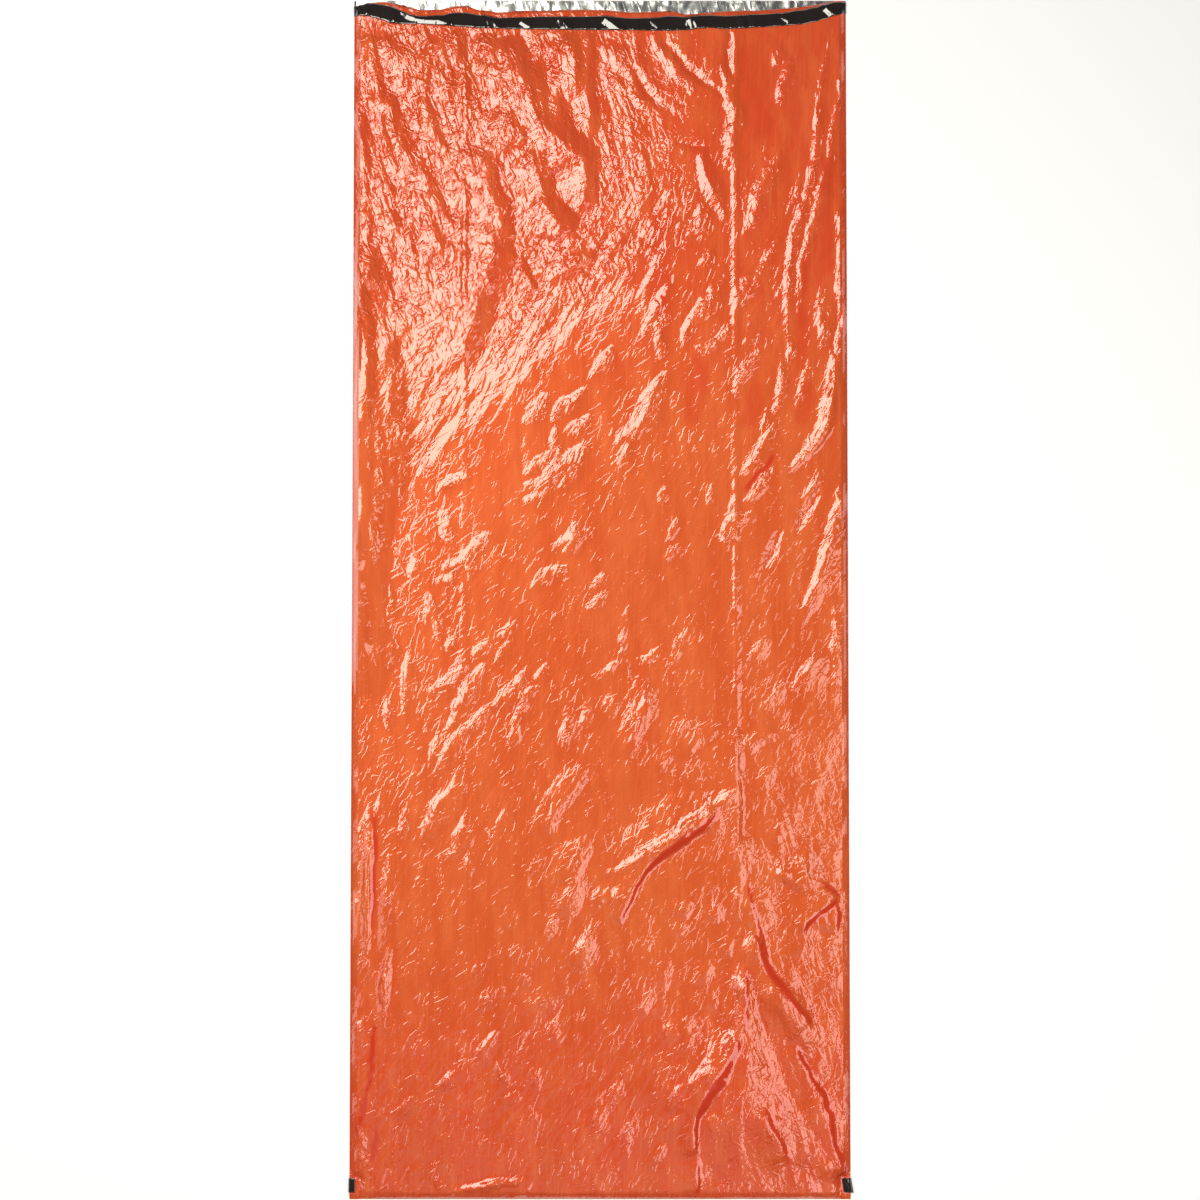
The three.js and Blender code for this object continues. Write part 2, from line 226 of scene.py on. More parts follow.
middleFolds = foldRows([
    (1.4, 8, 8, [(-408, 155), (-404, 110), (-403, 60)]),
    (1.2, 8, 8, [(-372, 30), (-371, -15), (-373, -60)]),
    (1.4, 8, 8, [(-330, 65), (-331, 40)]),
    (1.6, 8, 8, [(-305, 5), (-308, -20), (-312, -43)]),
    (1.6, 8, 8, [(-300, -5), (-292, -40), (-288, -75)]),
    (1.6, 8, 8, [(12, 14), (-2, 0), (-22, -12)]),
    (1.5, 8, 8, [(-150, -42), (-182, -64)]),
    (1.6, 8, 8, [(-164, -76), (-186, -112)]),
    (2.6, 18, 12, [(425, 190), (432, 158)]),
    (1.8, 12, 12, [(-100, 186), (-128, 176)]),
    (1.6, 10, 10, [(-277, 146), (-274, 125), (-270, 108)]),
    (2.0, 12, 12, [(-203, 114), (-218, 104), (-230, 86)]),
    (1.8, 9, 9, [(-238, 82), (-237, 62), (-232, 44)]),
    (1.8, 10, 10, [(-253, 68), (-268, 60)]),
    (1.4, 9, 9, [(-264, 42), (-282, 34)]),
    (2.4, 13, 14, [(-44, 136), (-48, 118), (-56, 104), (-82, 97)]),
    (1.6, 9, 10, [(-14, 124), (-34, 114)]),
    (2.0, 11, 12, [(-64, 56), (-76, 46)]),
    (2.0, 12, 12, [(-80, 58), (-96, 46), (-114, 28)]),
    (1.8, 10, 10, [(4, 42), (-8, 26)]),
    (1.8, 9, 10, [(-371, -68), (-374, -90), (-378, -120)]),
    (2.4, 11, 11, [(-341, -90), (-345, -130), (-348, -180), (-352, -205)]),
    (1.4, 8, 8, [(-381, -182), (-379, -222)]),
    (2.6, 15, 16, [(-246, -100), (-250, -122), (-262, -145), (-290, -154), (-312, -164)]),
    (1.8, 11, 11, [(-204, -80), (-222, -98)]),
    (1.4, 9, 9, [(-268, -60), (-268, -100)]),
    (2.8, 15, 16, [(-200, -110), (-222, -135), (-238, -160), (-252, -185), (-262, -210), (-276, -238)]),
    (2.6, 14, 14, [(-136, -128), (-148, -150), (-170, -176), (-188, -184)]),
    (1.8, 10, 10, [(-96, -117), (-112, -136)]),
    (1.6, 9, 9, [(-110, -155), (-130, -162), (-148, -176)]),
    (2.2, 12, 12, [(-203, -192), (-222, -215), (-232, -232)]),
    (2.2, 11, 12, [(-140, -184), (-146, -205)]),
    (2.4, 12, 12, [(-148, -208), (-155, -235), (-160, -266)]),
    (2.6, 14, 14, [(-58, -200), (-62, -230), (-66, -264)]),
    (2.0, 11, 11, [(-28, -186), (-36, -222)]),
    (1.8, 9, 9, [(114, 198), (104, 180)]),
    (1.6, 8, 8, [(134, 142), (124, 108)]),
    (1.8, 10, 10, [(136, 95), (120, 80)]),
    (1.4, 7, 7, [(200, 204), (193, 180)]),
    (2.6, 13, 14, [(241, 182), (233, 155), (226, 130), (218, 110), (222, 86)]),
    (1.4, 7, 7, [(270, 158), (260, 143)]),
    (-3, 12, 12, [(396, 215), (376, 172), (360, 140), (348, 108)]),
    (-3, 12, 12, [(322, 124), (305, 86), (288, 56)]),
    (5.2, 22, 20, [(426, 180), (417, 140), (411, 105), (404, 70), (395, 45), (382, 20), (370, 0),
                   (354, -22)]),
    (3.4, 12, 10, [(415, 4), (417, -30), (420, -60), (418, -90), (422, -112), (417, -140), (413, -192)]),
    (3.4, 14, 15, [(400, -93), (385, -105), (372, -118), (360, -132), (350, -146), (336, -163)]),
    (2.6, 11, 12, [(322, -143), (310, -160), (300, -172), (286, -189)]),
    (2.2, 12, 12, [(284, -76), (275, -88), (267, -98)]),
    (1.8, 8, 8, [(26, -108), (15, -125), (-4, -133)]),
    (1.6, 8, 8, [(108, -86), (90, -97), (73, -109)]),
    (1.4, 8, 8, [(147, -58), (132, -80)]),
    (1.4, 8, 8, [(138, -92), (120, -106)]),
    (1.2, 7, 7, [(52, 2), (41, -30), (38, -70), (38, -102), (50, -130), (48, -162)]),
])

footLeftFolds = foldRows([
    (2.0, 9, 10, [(-285, -240), (-295, -262), (-300, -290)]),
    (2.0, 8, 8, [(-80, -565), (-95, -595)]),
    (2.2, 9, 9, [(-392, -360), (-396, -390)]),
    (1.6, 8, 8, [(-345, -370), (-350, -425)]),
    (1.6, 8, 8, [(-120, -455), (-120, -475)]),
    (-2.0, 8, 8, [(-420, -660), (-435, -720), (-440, -745)]),
    (1.6, 8, 8, [(-336, -995), (-338, -1050)]),
    (3.0, 15, 16, [(-236, -212), (-243, -235), (-268, -258), (-280, -280), (-292, -314)]),
    (3.4, 16, 18, [(-246, -298), (-256, -312), (-260, -330), (-275, -350), (-292, -375), (-305, -398),
                   (-322, -432)]),
    (2.6, 13, 14, [(-236, -374), (-240, -395), (-250, -420), (-262, -446), (-276, -454)]),
    (1.6, 8, 8, [(-234, -400), (-234, -450), (-236, -512)]),
    (2.4, 11, 12, [(2, -512), (-8, -535), (-14, -548)]),
    (2.2, 9, 10, [(-8, -568), (-22, -592), (-34, -618), (-46, -642)]),
    (1.6, 8, 9, [(-172, -380), (-176, -400)]),
    (1.6, 8, 9, [(-195, -412), (-192, -440)]),
    (4.8, 17, 5, [(-408, -362), (-411, -420), (-412, -480), (-412, -540), (-415, -600), (-414, -660)]),
    (2.8, 10, 11, [(-377, -440), (-378, -500), (-382, -550), (-388, -600), (-392, -640)]),
    (4.8, 14, 8, [(-372, -610), (-378, -645), (-386, -680), (-388, -720), (-392, -760)]),
    (1.8, 9, 9, [(-428, -750), (-440, -790)]),
    (3.2, 11, 12, [(-182, -758), (-196, -778), (-212, -800), (-222, -815), (-232, -838)]),
    (2.4, 10, 11, [(-248, -816), (-258, -835), (-272, -852), (-295, -868)]),
    (2.0, 10, 11, [(-322, -880), (-345, -895), (-368, -908)]),
    (2.2, 9, 10, [(-194, -684), (-204, -702), (-217, -724)]),
    (1.8, 9, 9, [(-220, -640), (-221, -680)]),
    (2.4, 10, 10, [(-146, -872), (-158, -882), (-172, -896)]),
    (2.2, 10, 10, [(-182, -826), (-174, -848), (-164, -860)]),
    (2.2, 10, 10, [(-120, -832), (-117, -858), (-108, -868)]),
    (1.6, 8, 8, [(-122, -900), (-118, -930), (-118, -960)]),
    (3.0, 12, 12, [(-4, -868), (-7, -910), (-10, -964)]),
    (1.8, 8, 9, [(-90, -704), (-108, -710), (-125, -725)]),
    (1.8, 8, 8, [(-132, -675), (-128, -692)]),
    (2.0, 10, 10, [(-86, -765), (-76, -782)]),
    (-2.2, 18, 18, [(-20, -670), (-48, -700), (-85, -735), (-110, -765), (-140, -790)]),
    (6.4, 11, 5, [(-128, -1029), (-180, -1036), (-212, -1039), (-260, -1049)]),
    (1.8, 7, 7, [(-126, -1038), (-142, -1060)]),
    (1.8, 8, 8, [(-298, -1026), (-280, -1050)]),
    (1.4, 7, 7, [(-352, -1040), (-348, -1060)]),
    (-3.0, 9, 9, [(-438, -975), (-430, -1010), (-424, -1052)]),
    (-2.6, 9, 9, [(-408, -965), (-418, -1000), (-424, -1030)]),
    (2.0, 9, 9, [(-424, -925), (-427, -960), (-432, -990)]),
    (1.6, 8, 8, [(-378, -1010), (-384, -1045)]),
    (1.6, 8, 8, [(-362, -975), (-366, -1000)]),
])

footRightFolds = foldRows([
    (3.0, 10, 10, [(192, -368), (165, -388), (132, -411), (100, -432), (75, -450), (45, -470),
                   (0, -488)]),
    (3.4, 10, 10, [(414, -596), (404, -618)]),
    (3.6, 12, 14, [(206, -802), (195, -806), (186, -820), (178, -838), (170, -850), (157, -860)]),
    (3.0, 10, 11, [(157, -860), (145, -863), (135, -870), (130, -885), (121, -902)]),
    (2.6, 9, 10, [(137, -916), (120, -930), (108, -950)]),
    (2.2, 8, 9, [(108, -965), (88, -998)]),
    (2.4, 9, 9, [(250, -764), (235, -770), (220, -784)]),
    (2.6, 11, 11, [(30, -852), (24, -872), (6, -898)]),
    (2.8, 11, 11, [(60, -915), (42, -945), (44, -988)]),
])

# pink bands at the lower right: broad flanks that face right, given like the turned bands
pinkBands = [
    [(240, -338, 8), (226, -360, 8), (205, -374, 8), (180, -391, 8), (150, -411, 8), (118, -436, 7)],
    [(202, -398, 7), (176, -415, 8), (150, -432, 8), (115, -460, 7)],
    [(356, -955, 8), (364, -980, 12), (374, -1005, 10)],
    [(384, -948, 8), (392, -978, 13), (402, -1005, 12), (408, -1030, 8)],
    [(404, -985, 8), (414, -1010, 12), (424, -1040, 9)],
    [(360, -1010, 8), (372, -1035, 12), (380, -1056, 8)],
    [(265, -660, 8), (269, -700, 14), (278, -784, 32), (286, -813, 47), (300, -871, 76),
     (306, -889, 78), (335, -925, 62), (353, -958, 56), (370, -987, 50), (382, -1010, 40)],
    [(300, -672, 12), (311, -694, 15), (331, -726, 22), (353, -751, 26), (375, -777, 32),
     (393, -795, 22)],
    [(318, -640, 30), (328, -661, 38), (353, -704, 18), (371, -737, 16), (393, -777, 22),
     (403, -799, 14)],
    [(388, -812, 14), (400, -838, 18), (407, -857, 14)],
    [(180, -738, 22), (168, -759, 26), (170, -790, 24), (170, -820, 14)],
    [(124, -742, 12), (134, -762, 16), (146, -772, 12)],
    [(204, -905, 12), (208, -930, 16), (217, -955, 10)],
    [(246, -215, 18), (246, -260, 20), (247, -300, 18), (248, -340, 12), (249, -400, 9),
     (250, -500, 8), (249, -575, 8)],
    [(236, -330, 10), (232, -360, 16), (222, -392, 26), (214, -420, 22), (206, -438, 12)],
    [(262, -410, 8), (266, -440, 14), (268, -465, 18), (262, -492, 12)],
    [(324, -236, 8), (310, -243, 16), (290, -254, 16), (268, -270, 12), (256, -280, 8)],
    [(290, -296, 14), (304, -306, 26), (316, -318, 18)],
    [(372, -322, 10), (388, -332, 22), (398, -348, 12)],
    [(312, -390, 14), (328, -400, 20), (342, -412, 14)],
    [(346, -410, 8), (365, -420, 8), (388, -436, 9), (404, -447, 8), (430, -455, 8)],
    [(362, -432, 8), (368, -445, 12), (376, -467, 26), (384, -503, 46), (378, -528, 42), (366, -542, 20)],
    [(322, -462, 8), (330, -490, 24), (326, -518, 14)],
    [(284, -500, 12), (296, -530, 24), (312, -560, 28), (324, -578, 14)],
    [(376, -560, 10), (370, -590, 20), (372, -620, 24), (378, -645, 14)],
    [(398, -550, 8), (400, -572, 12), (398, -594, 8)],
    [(172, -540, 10), (150, -560, 16), (134, -575, 10)],
    [(228, -545, 10), (212, -565, 16), (200, -582, 10)],
    [(160, -575, 8), (148, -590, 12), (138, -598, 8)],
    [(240, -590, 8), (236, -615, 14), (230, -640, 12)],
    [(330, -213, 10), (345, -235, 20), (350, -258, 22)],
    [(226, -226, 9), (205, -238, 12), (180, -252, 14), (166, -268, 12), (158, -280, 8)],
    [(222, -285, 7), (206, -298, 8)],
    [(172, -335, 8), (158, -350, 10), (148, -362, 8)],
    [(204, -645, 10), (192, -668, 14), (182, -688, 8)],
    [(205, -690, 8), (208, -715, 10), (206, -735, 8)],
    [(122, -640, 12), (120, -675, 16), (117, -700, 8)],
    [(412, -665, 8), (414, -690, 10)],
    [(424, -660, 8), (427, -700, 8)],
    [(42, -162, 10), (33, -185, 15), (25, -200, 15), (12, -216, 10)],
    [(108, -152, 12), (92, -170, 18), (97, -190, 22), (90, -206, 22), (80, -226, 20), (70, -246, 16),
     (61, -290, 10)],
    [(168, -210, 8), (150, -225, 10), (136, -242, 8)],
    [(130, -273, 8), (115, -293, 11), (103, -306, 8)],
    [(-14, -296, 12), (-30, -322, 17), (-50, -348, 17), (-68, -368, 16), (-84, -395, 16),
     (-92, -424, 10)],
    [(-6, -425, 14), (-22, -450, 20), (-40, -478, 24), (-30, -505, 22), (-40, -535, 20), (-52, -575, 12)],
    [(-5, -600, 14), (-20, -635, 26), (-32, -668, 18)],
    [(44, -512, 12), (34, -532, 18), (24, -552, 12)],
    [(104, -686, 8), (90, -715, 12), (74, -745, 8)],
]

# valleys: steep faces of the deepest folds, dark in the light and painted in shade too, given like the
# turned bands
valleys = [
    [(216, -377, 6), (200, -388, 12), (180, -405, 16), (150, -425, 19), (120, -448, 17),
     (100, -462, 14), (85, -478, 11), (75, -495, 9), (66, -515, 9), (58, -537, 8), (48, -555, 8),
     (34, -585, 7)],
    [(392, -500, 7), (410, -516, 8), (432, -536, 7)],
    [(428, -533, 8), (404, -546, 14), (382, -561, 17), (368, -580, 12), (358, -598, 8)],
    [(426, -534, 8), (422, -565, 9), (418, -600, 8)],
    [(259, -499, 5), (268, -530, 7), (281, -575, 8), (302, -640, 8)],
    [(268, -585, 5), (282, -606, 9), (295, -639, 14), (309, -668, 19), (338, -708, 13), (360, -733, 9),
     (380, -760, 8)],
    [(262, -646, 5), (260, -704, 7), (259, -758, 8), (256, -775, 9)],
    [(252, -775, 8), (240, -799, 16), (230, -828, 19), (217, -853, 26), (194, -879, 24),
     (180, -900, 18), (174, -922, 14), (172, -948, 11), (173, -973, 9), (176, -996, 8)],
    [(175, -985, 8), (176, -1030, 9), (174, -1062, 9)],
    [(338, -784, 5), (360, -820, 9), (382, -860, 11), (397, -879, 15), (407, -907, 19),
     (415, -936, 14), (420, -966, 9), (428, -995, 10), (440, -1025, 10)],
    [(293, -893, 7), (302, -922, 8), (324, -966, 8), (339, -1002, 7)],
]

# grooves: shallower lines painted in shade, given like the turned bands
grooves = [
    [(312, 262, 8), (295, 242, 10), (282, 226, 11), (270, 208, 10), (256, 190, 8)],
    [(-399, -370, 8), (-400, -450, 10), (-401, -520, 10), (-404, -590, 8)],
    [(-396, -925, 9), (-398, -965, 11), (-404, -1005, 9)],
    [(-397, -745, 9), (-404, -800, 11), (-411, -860, 12), (-420, -910, 11), (-434, -950, 8)],
]

# shades: broad zones of painted shade between the folds of the upper right, with no height, given like the
# turned bands
shades = [
    [(262, 1005, 40), (270, 940, 60), (285, 870, 60), (290, 800, 40)],
    [(170, 830, 30), (185, 770, 50), (200, 710, 30)],
    [(118, 720, 30), (112, 640, 50), (108, 560, 50), (100, 490, 30)],
    [(404, 800, 20), (404, 720, 28), (402, 640, 28), (400, 560, 20)],
    [(366, 620, 16), (362, 540, 24), (360, 460, 22), (356, 390, 16)],
    [(372, 400, 26), (366, 350, 36), (352, 300, 24)],
    [(280, 400, 30), (272, 340, 44), (262, 290, 30)],
    [(180, 440, 30), (172, 370, 50), (160, 300, 30)],
]

folds = mouthLeftFolds + mouthRightFolds + upperFolds + middleFolds + footLeftFolds + footRightFolds

# packing folds: straight ridges and grooves along the film, from one place to another
packFolds = namedRows("x height top low", [
    (-243, 3.2, 985, 320), (-243, 0.8, 330, -1000), (-140, 0.6, 990, 620), (-140, -0.3, 600, -1000),
    (83, 0.5, 560, -1000), (245, 1.4, 1010, 420), (245, 2.2, 400, -620), (249, 1.5, -560, -1030),
])

# crinkle: facets of a length and width lie along angle in a patch of radius rx by ry
# fine is the close creasing there
crinklePatches = namedRows("x y rx ry angle length width height fine", [
    (-330, 900, 150, 150, 100, 70, 24, 4.9, 0.9),
    (-150, 880, 150, 170, 112, 60, 24, 4.9, 0.9),
    (40, 900, 130, 160, 120, 60, 26, 1.2, 0.35),
    (280, 850, 170, 200, 85, 90, 30, 1.0, 0.15),
    (-340, 600, 140, 130, 97, 64, 22, 5.6, 0.85),
    (-100, 620, 150, 120, 60, 50, 24, 4.6, 0.85),
    (120, 560, 140, 180, 62, 56, 24, 1.4, 0.4),
    (350, 420, 120, 260, 80, 90, 26, 1.2, 0.2),
    (-300, 350, 60, 90, 70, 50, 20, 4.2, 0.7),
    (-360, 160, 100, 130, 92, 70, 20, 0.3, 0.14),
    (-370, -80, 100, 200, 92, 70, 20, 0.6, 0.20),
    (-120, 300, 190, 140, 60, 56, 22, 0.4, 0.18),
    (-120, 80, 190, 180, 55, 56, 22, 0.5, 0.16),
    (130, 60, 160, 260, 62, 60, 24, 0.8, 0.20),
    (370, -60, 110, 240, 70, 60, 22, 1.6, 0.23),
    (-330, -400, 140, 300, 80, 70, 22, 0.8, 0.29),
    (-60, -380, 190, 240, 58, 56, 22, 1.1, 0.30),
    (180, -420, 130, 220, 50, 56, 22, 1.4, 0.35),
    (350, -420, 120, 200, 110, 44, 22, 2.6, 0.4),
    (320, -800, 140, 200, 112, 60, 22, 2.6, 0.42),
    (60, -780, 160, 220, 66, 60, 24, 1.6, 0.4),
    (-240, -850, 200, 220, 60, 80, 28, 0.9, 0.4),
    (-425, -1000, 40, 70, 95, 44, 14, 3.4, 0.6),
])

film = {
    "across": 208,
    "along": 424,
    "innerStep": 4,  # the inner face's cells are this many times wider
    "thick": 0.3,
    "base": 1.9,  # the film's own height at its welded edge
    "lift": 8,  # slack film above the weld
    "leastLift": 2.5,
    "weld": 1,
    "rise": (7, 13),  # least and most width of the rise from the weld
    "riseRun": (45, 60),  # along and across, over which that width varies
    "flatRim": 3,  # the rim is left in flat facets this far past the rise
    "mouthFall": 0.17,  # slope of the taped edge down to the mouth
    "tapeCalm": 0.15,  # crinkle left under the tape
    "tapeHold": 3,  # and this far past it
    "pressAlong": (14, 30),  # how far from a foot tape's middle the film is pressed flat
    "pressAcross": (15, 32),  # and how far from the side edge
    "tip": [(0, 0), (12, 2.8), (40, 0)],  # lift of the pressed film, going up from the foot
    "swell": 2.5,  # slow rise and fall of the slack film
    "swellSize": 170,
    # slope of a band, how many times wider the rise behind it is, its least width,
    # the width past which it is less steep, and the least length and the slope of its ends
    "turned": {"slope": 0.25, "back": 1.8, "least": 12, "most": 40, "ends": 26, "endSlope": 1.4},
    "pink": {"slope": 0.25, "back": 2.2, "least": 8, "most": 40, "ends": 18, "endSlope": 2.2},
    "valley": {"slope": 0.55, "back": 5.0, "least": 5, "most": 16, "ends": 24, "endSlope": 2.0},
    "groove": {"slope": 0.06, "back": 3.0, "least": 7, "most": 16, "ends": 24, "endSlope": 1.5},
    # a shade band raises nothing and only paints shade, at its tone
    "shade": {"slope": 0.0, "back": 1.0, "least": 12, "most": 40, "ends": 40, "endSlope": 1.0, "tone": 0.4},
    "crestPasses": 4,  # how often a band's widths are evened out for its crest
    "endShare": 0.45,  # most of a band's length that one end takes up
    "fullRun": 4,  # a band shorter than this many widths is lower
    "markEdge": 2.2,  # how steeply a band's mark sets in at its edge
    "markEnds": 2,  # and at its ends
    "calmEdge": [(-400, 150), (-353, 190), (-246, 300), (-236, 330), (55, 590), (140, 640), (440, 650)],
    "calm": 0.7,  # share of all crinkle lost below that edge
    "calmRise": (-6, 14),  # how far below it the calm sets in
    "calmFade": (120, 320),  # and fades
    "calmLost": 0.8,  # to this share less
    "calmFoot": (60, 190),  # where it ends going down
    "calmSide": (300, 200),  # and to the right
    "patchReach": 0.03,  # least weight at which a crinkle patch still counts
    "bandCalm": 0.35,  # share of the fine creasing that a turned band loses
    "foldFine": 0.55,  # fine creasing on a fold
    "foldEdge": 3,  # how steeply it sets in at the fold's edge
    "spindle": 0.42,  # share of a fold's length over which each end narrows
    "narrow": 0.4,  # to this share of its width
    "leastEnd": 0.02,  # and this share of its height at the very tip
    "drawn": 14,  # length added to each end of the shortest folds
    "drawnBelow": 110,  # and less and less of it up to this length
    "ridgeBack": 2.2,  # a ridge falls away this many times wider on its left
    "ridgeCurve": 1.5,  # and is hollow on its right
    "wander": 5,  # how far the folds stray from their lines
    "wanderSizes": (60, 17),  # over these runs
    "wanderClose": 1.1,  # share of the closer one
    "uneven": 0.35,  # how much a fold's height varies
    "unevenRun": 40,
    "packEnds": (20, 60),  # a packing fold fades from past its end to within it
    "packRun": 70,  # its height varies over this run
    "packHeights": (0.6, 1.2),  # the middle of that and its spread
    "packApart": 0.37,  # so that no two vary alike
    "hollowPasses": 6,  # how soft the heights are that hollows are measured from; hollows are painted in shade
    "hollowDepth": 4,  # a hollow this deep is painted in full shade
    "leanFrom": 90,  # facets along a larger angle lean to the left
}
facets = {"bends": (0.7, 0.6), "small": (2.1, 1.9), "smallShare": 0.5}  # bends and small facets

dice = np.random.default_rng(11).random((97, 89)) - 0.5
diceSteps = (31, 17)  # how far a seed moves along the throws
seeds = {"swell": 3, "strayX": 5, "strayY": 7, "uneven": 9, "pack": 12, "rise": 13}


# heights thrown on a lattice and joined by flat facets, or by a smooth swell
def latticeField(a, b, seed, smooth=False):
    i, j = np.floor(a).astype(int), np.floor(b).astype(int)
    s, t = a - i, b - j

    def corner(di, dj):
        row = (i + di + diceSteps[0] * seed) % dice.shape[0]
        return dice[row, (j + dj + diceSteps[1] * seed) % dice.shape[1]]

    c00, c10, c01, c11 = corner(0, 0), corner(1, 0), corner(0, 1), corner(1, 1)
    if smooth:
        s, t = easeStep(s, 0, 1), easeStep(t, 0, 1)
        return (c00 * (1 - s) + c10 * s) * (1 - t) + (c01 * (1 - s) + c11 * s) * t
    near = c00 + (c10 - c00) * s + (c01 - c00) * t
    far = c11 + (c01 - c11) * (1 - s) + (c10 - c11) * (1 - t)
    return np.where(s + t < 1, near, far)


# distance off a line, positive on the right hand going down it, the place along it and its stations
def offLine(x, y, points):
    runs = [math.dist(p[:2], q[:2]) for p, q in zip(points, points[1:])]
    nearest, side, along = np.full_like(x, np.inf), np.zeros_like(x), np.zeros_like(x)
    start = 0
    for p, q, run in zip(points, points[1:], runs):
        ux, uy = (q[0] - p[0]) / run, (q[1] - p[1]) / run
        dx, dy = x - p[0], y - p[1]
        t = np.clip(dx * ux + dy * uy, 0, run)
        away = np.hypot(dx - t * ux, dy - t * uy)
        closer = away < nearest
        nearest = np.where(closer, away, nearest)
        side = np.where(closer, dx * uy - dy * ux, side)
        along = np.where(closer, start + t, along)
        start += run
    return np.copysign(nearest, side), along, np.cumsum([0] + runs)


# lengthens a short line of points at both ends
def drawnOut(points, extra):
    (ax, ay), (bx, by) = points[0], points[-1]
    run = math.dist(points[0], points[-1])
    extra = extra * max(0, 1 - run / film["drawnBelow"]) / run
    dx, dy = (bx - ax) * extra, (by - ay) * extra
    return [(ax - dx, ay - dy)] + points[1:-1] + [(bx + dx, by + dy)]


# a fold's tent shape over its line, from 0 to 1, tapered to both ends and uneven along its run
def foldShape(x, y, fold, seed, spindle=film["spindle"], drawn=film["drawn"]):
    off, along, stations = offLine(x, y, drawnOut(fold["points"], drawn))
    length = stations[-1]
    raised = fold["height"] > 0
    left = fold["left"] * (film["ridgeBack"] if raised else 1)
    ends = np.clip(np.minimum(along, length - along) / (spindle * length), film["leastEnd"], 1)
    spread = film["narrow"] + (1 - film["narrow"]) * ends
    tent = np.clip(1 - np.abs(off) / np.where(off > 0, fold["right"], left) / spread, 0, 1)
    if raised:
        tent = np.where(off > 0, tent ** film["ridgeCurve"], tent)
    varied = latticeField(along / film["unevenRun"], np.full_like(x, seed + 0.5), seeds["uneven"], True)
    return tent * np.sqrt(ends) * (1 + film["uneven"] * varied)


# a band slopes steeply down its own width and rises gently behind; also how far a point lies inside it
def bandShape(x, y, points, kind):
    off, along, stations = offLine(x, y, points)
    widths = np.maximum([p[2] for p in points], kind["least"]).astype(float)
    width = np.interp(along, stations, widths)
    for _ in range(film["crestPasses"]):
        padded = np.pad(widths, 1, mode="edge")
        widths = (padded[:-2] + 2 * widths + padded[2:]) / 4
    soft = np.interp(along, stations, widths)  # evens out the crest, so that nothing jumps at a bend
    behind = off - width / 2
    tent = np.clip(1 - np.abs(behind) / np.where(behind > 0, kind["back"] * soft, width), 0, 1)
    length = stations[-1]
    most = film["endShare"] * length
    first, last = [min(most, max(kind["ends"], kind["endSlope"] * w)) for w in (widths[0], widths[-1])]
    ends = easeStep(along, 0, first) * easeStep(length - along, 0, last)
    full = min(1, length / (film["fullRun"] * widths.max()))
    steep = kind["slope"] * np.sqrt(soft * np.minimum(soft, kind["most"])) * full
    inside = np.clip(film["markEdge"] * (1 - 2 * np.abs(off) / width), 0, 1)
    return steep * tent * ends, np.minimum(film["markEnds"] * ends, 1) * inside


# heights of all folds, where the turned bands and the creased folds lie, and where shade is painted
def foldHeight(x, y):
    total, turned, creased, shadeMark = np.zeros((4,) + x.shape)

    def stray(seed):
        broad, close = film["wanderSizes"]
        closer = film["wanderClose"] * latticeField(x / close, y / close, seed + 1, True)
        return film["wander"] * (latticeField(x / broad, y / broad, seed, True) + closer)

    def nearTo(points, reach):
        xs, ys = [p[0] for p in points], [p[1] for p in points]
        reach = reach + 2 * film["wander"]
        return (x > min(xs) - reach) & (x < max(xs) + reach) & (y > min(ys) - reach) & (y < max(ys) + reach)

    strayX, strayY = x + stray(seeds["strayX"]), y + stray(seeds["strayY"])
    for i, fold in enumerate(folds):
        near = nearTo(fold["points"], film["drawn"] + film["ridgeBack"] * max(fold["right"], fold["left"]))
        shape = foldShape(strayX[near], strayY[near], fold, i)
        total[near] += fold["height"] * shape
        creased[near] = np.maximum(creased[near], shape)
    # valleys, grooves and shades mark where shade is painted
    kinds = (("turned", turnedBands, turned), ("pink", pinkBands, creased), ("valley", valleys, shadeMark),
             ("groove", grooves, shadeMark), ("shade", shades, shadeMark))
    for name, bands, mark in kinds:
        for points in bands:
            near = nearTo(points, film[name]["back"] * max(p[2] for p in points))
            height, inside = bandShape(strayX[near], strayY[near], points, film[name])
            total[near] += height
            mark[near] = np.maximum(mark[near], inside * film[name].get("tone", 1))
    cell = 2 / film["across"]
    past, within = film["packEnds"]
    middle, spread = film["packHeights"]
    for f in packFolds:
        column = cell * round(f["x"] / bag["footHalf"] / cell)  # the crest runs down one column of cells
        tent = np.clip(1 - np.abs(x / halfWidth(y) - column) / (2 * cell), 0, 1)
        tent = tent * easeStep(y, f["low"] - past, f["low"] + within)
        tent = tent * easeStep(y, f["top"] + past, f["top"] - within)
        row = np.full_like(y, film["packApart"] * f["x"])
        varied = latticeField(y / film["packRun"], row, seeds["pack"], True)
        total += f["height"] * tent * (middle + spread * varied)
    return total, turned, creased, shadeMark


def facetField(x, y, patch, seed):
    angle = math.radians(patch["angle"])
    a = (x * math.cos(angle) + y * math.sin(angle)) / patch["length"]
    b = (y * math.cos(angle) - x * math.sin(angle)) / patch["width"]
    (first, second), (smallA, smallB) = facets["bends"], facets["small"]
    bentA = a + latticeField(a * first, b * first, seed + 1, True)  # bends the lattice
    bentB = b + latticeField(a * second, b * second, seed + 2, True)
    small = latticeField(bentA * smallA, bentB * smallB, seed + 3)
    return latticeField(bentA, bentB, seed) + facets["smallShare"] * small


def patchWeights(x, y):
    return [np.exp(-((x - p["x"]) / p["rx"]) ** 2 - ((y - p["y"]) / p["ry"]) ** 2) for p in crinklePatches]


def crinkleHeight(x, y):
    total, fine = np.zeros((2,) + x.shape)
    weights = np.full_like(x, tiny)
    for i, (p, w) in enumerate(zip(crinklePatches, patchWeights(x, y))):
        near = w > film["patchReach"]
        total[near] += w[near] * p["height"] * facetField(x[near], y[near], p, 4 * i)
        weights += w
        fine += w * p["fine"]
    return total / weights, fine / weights
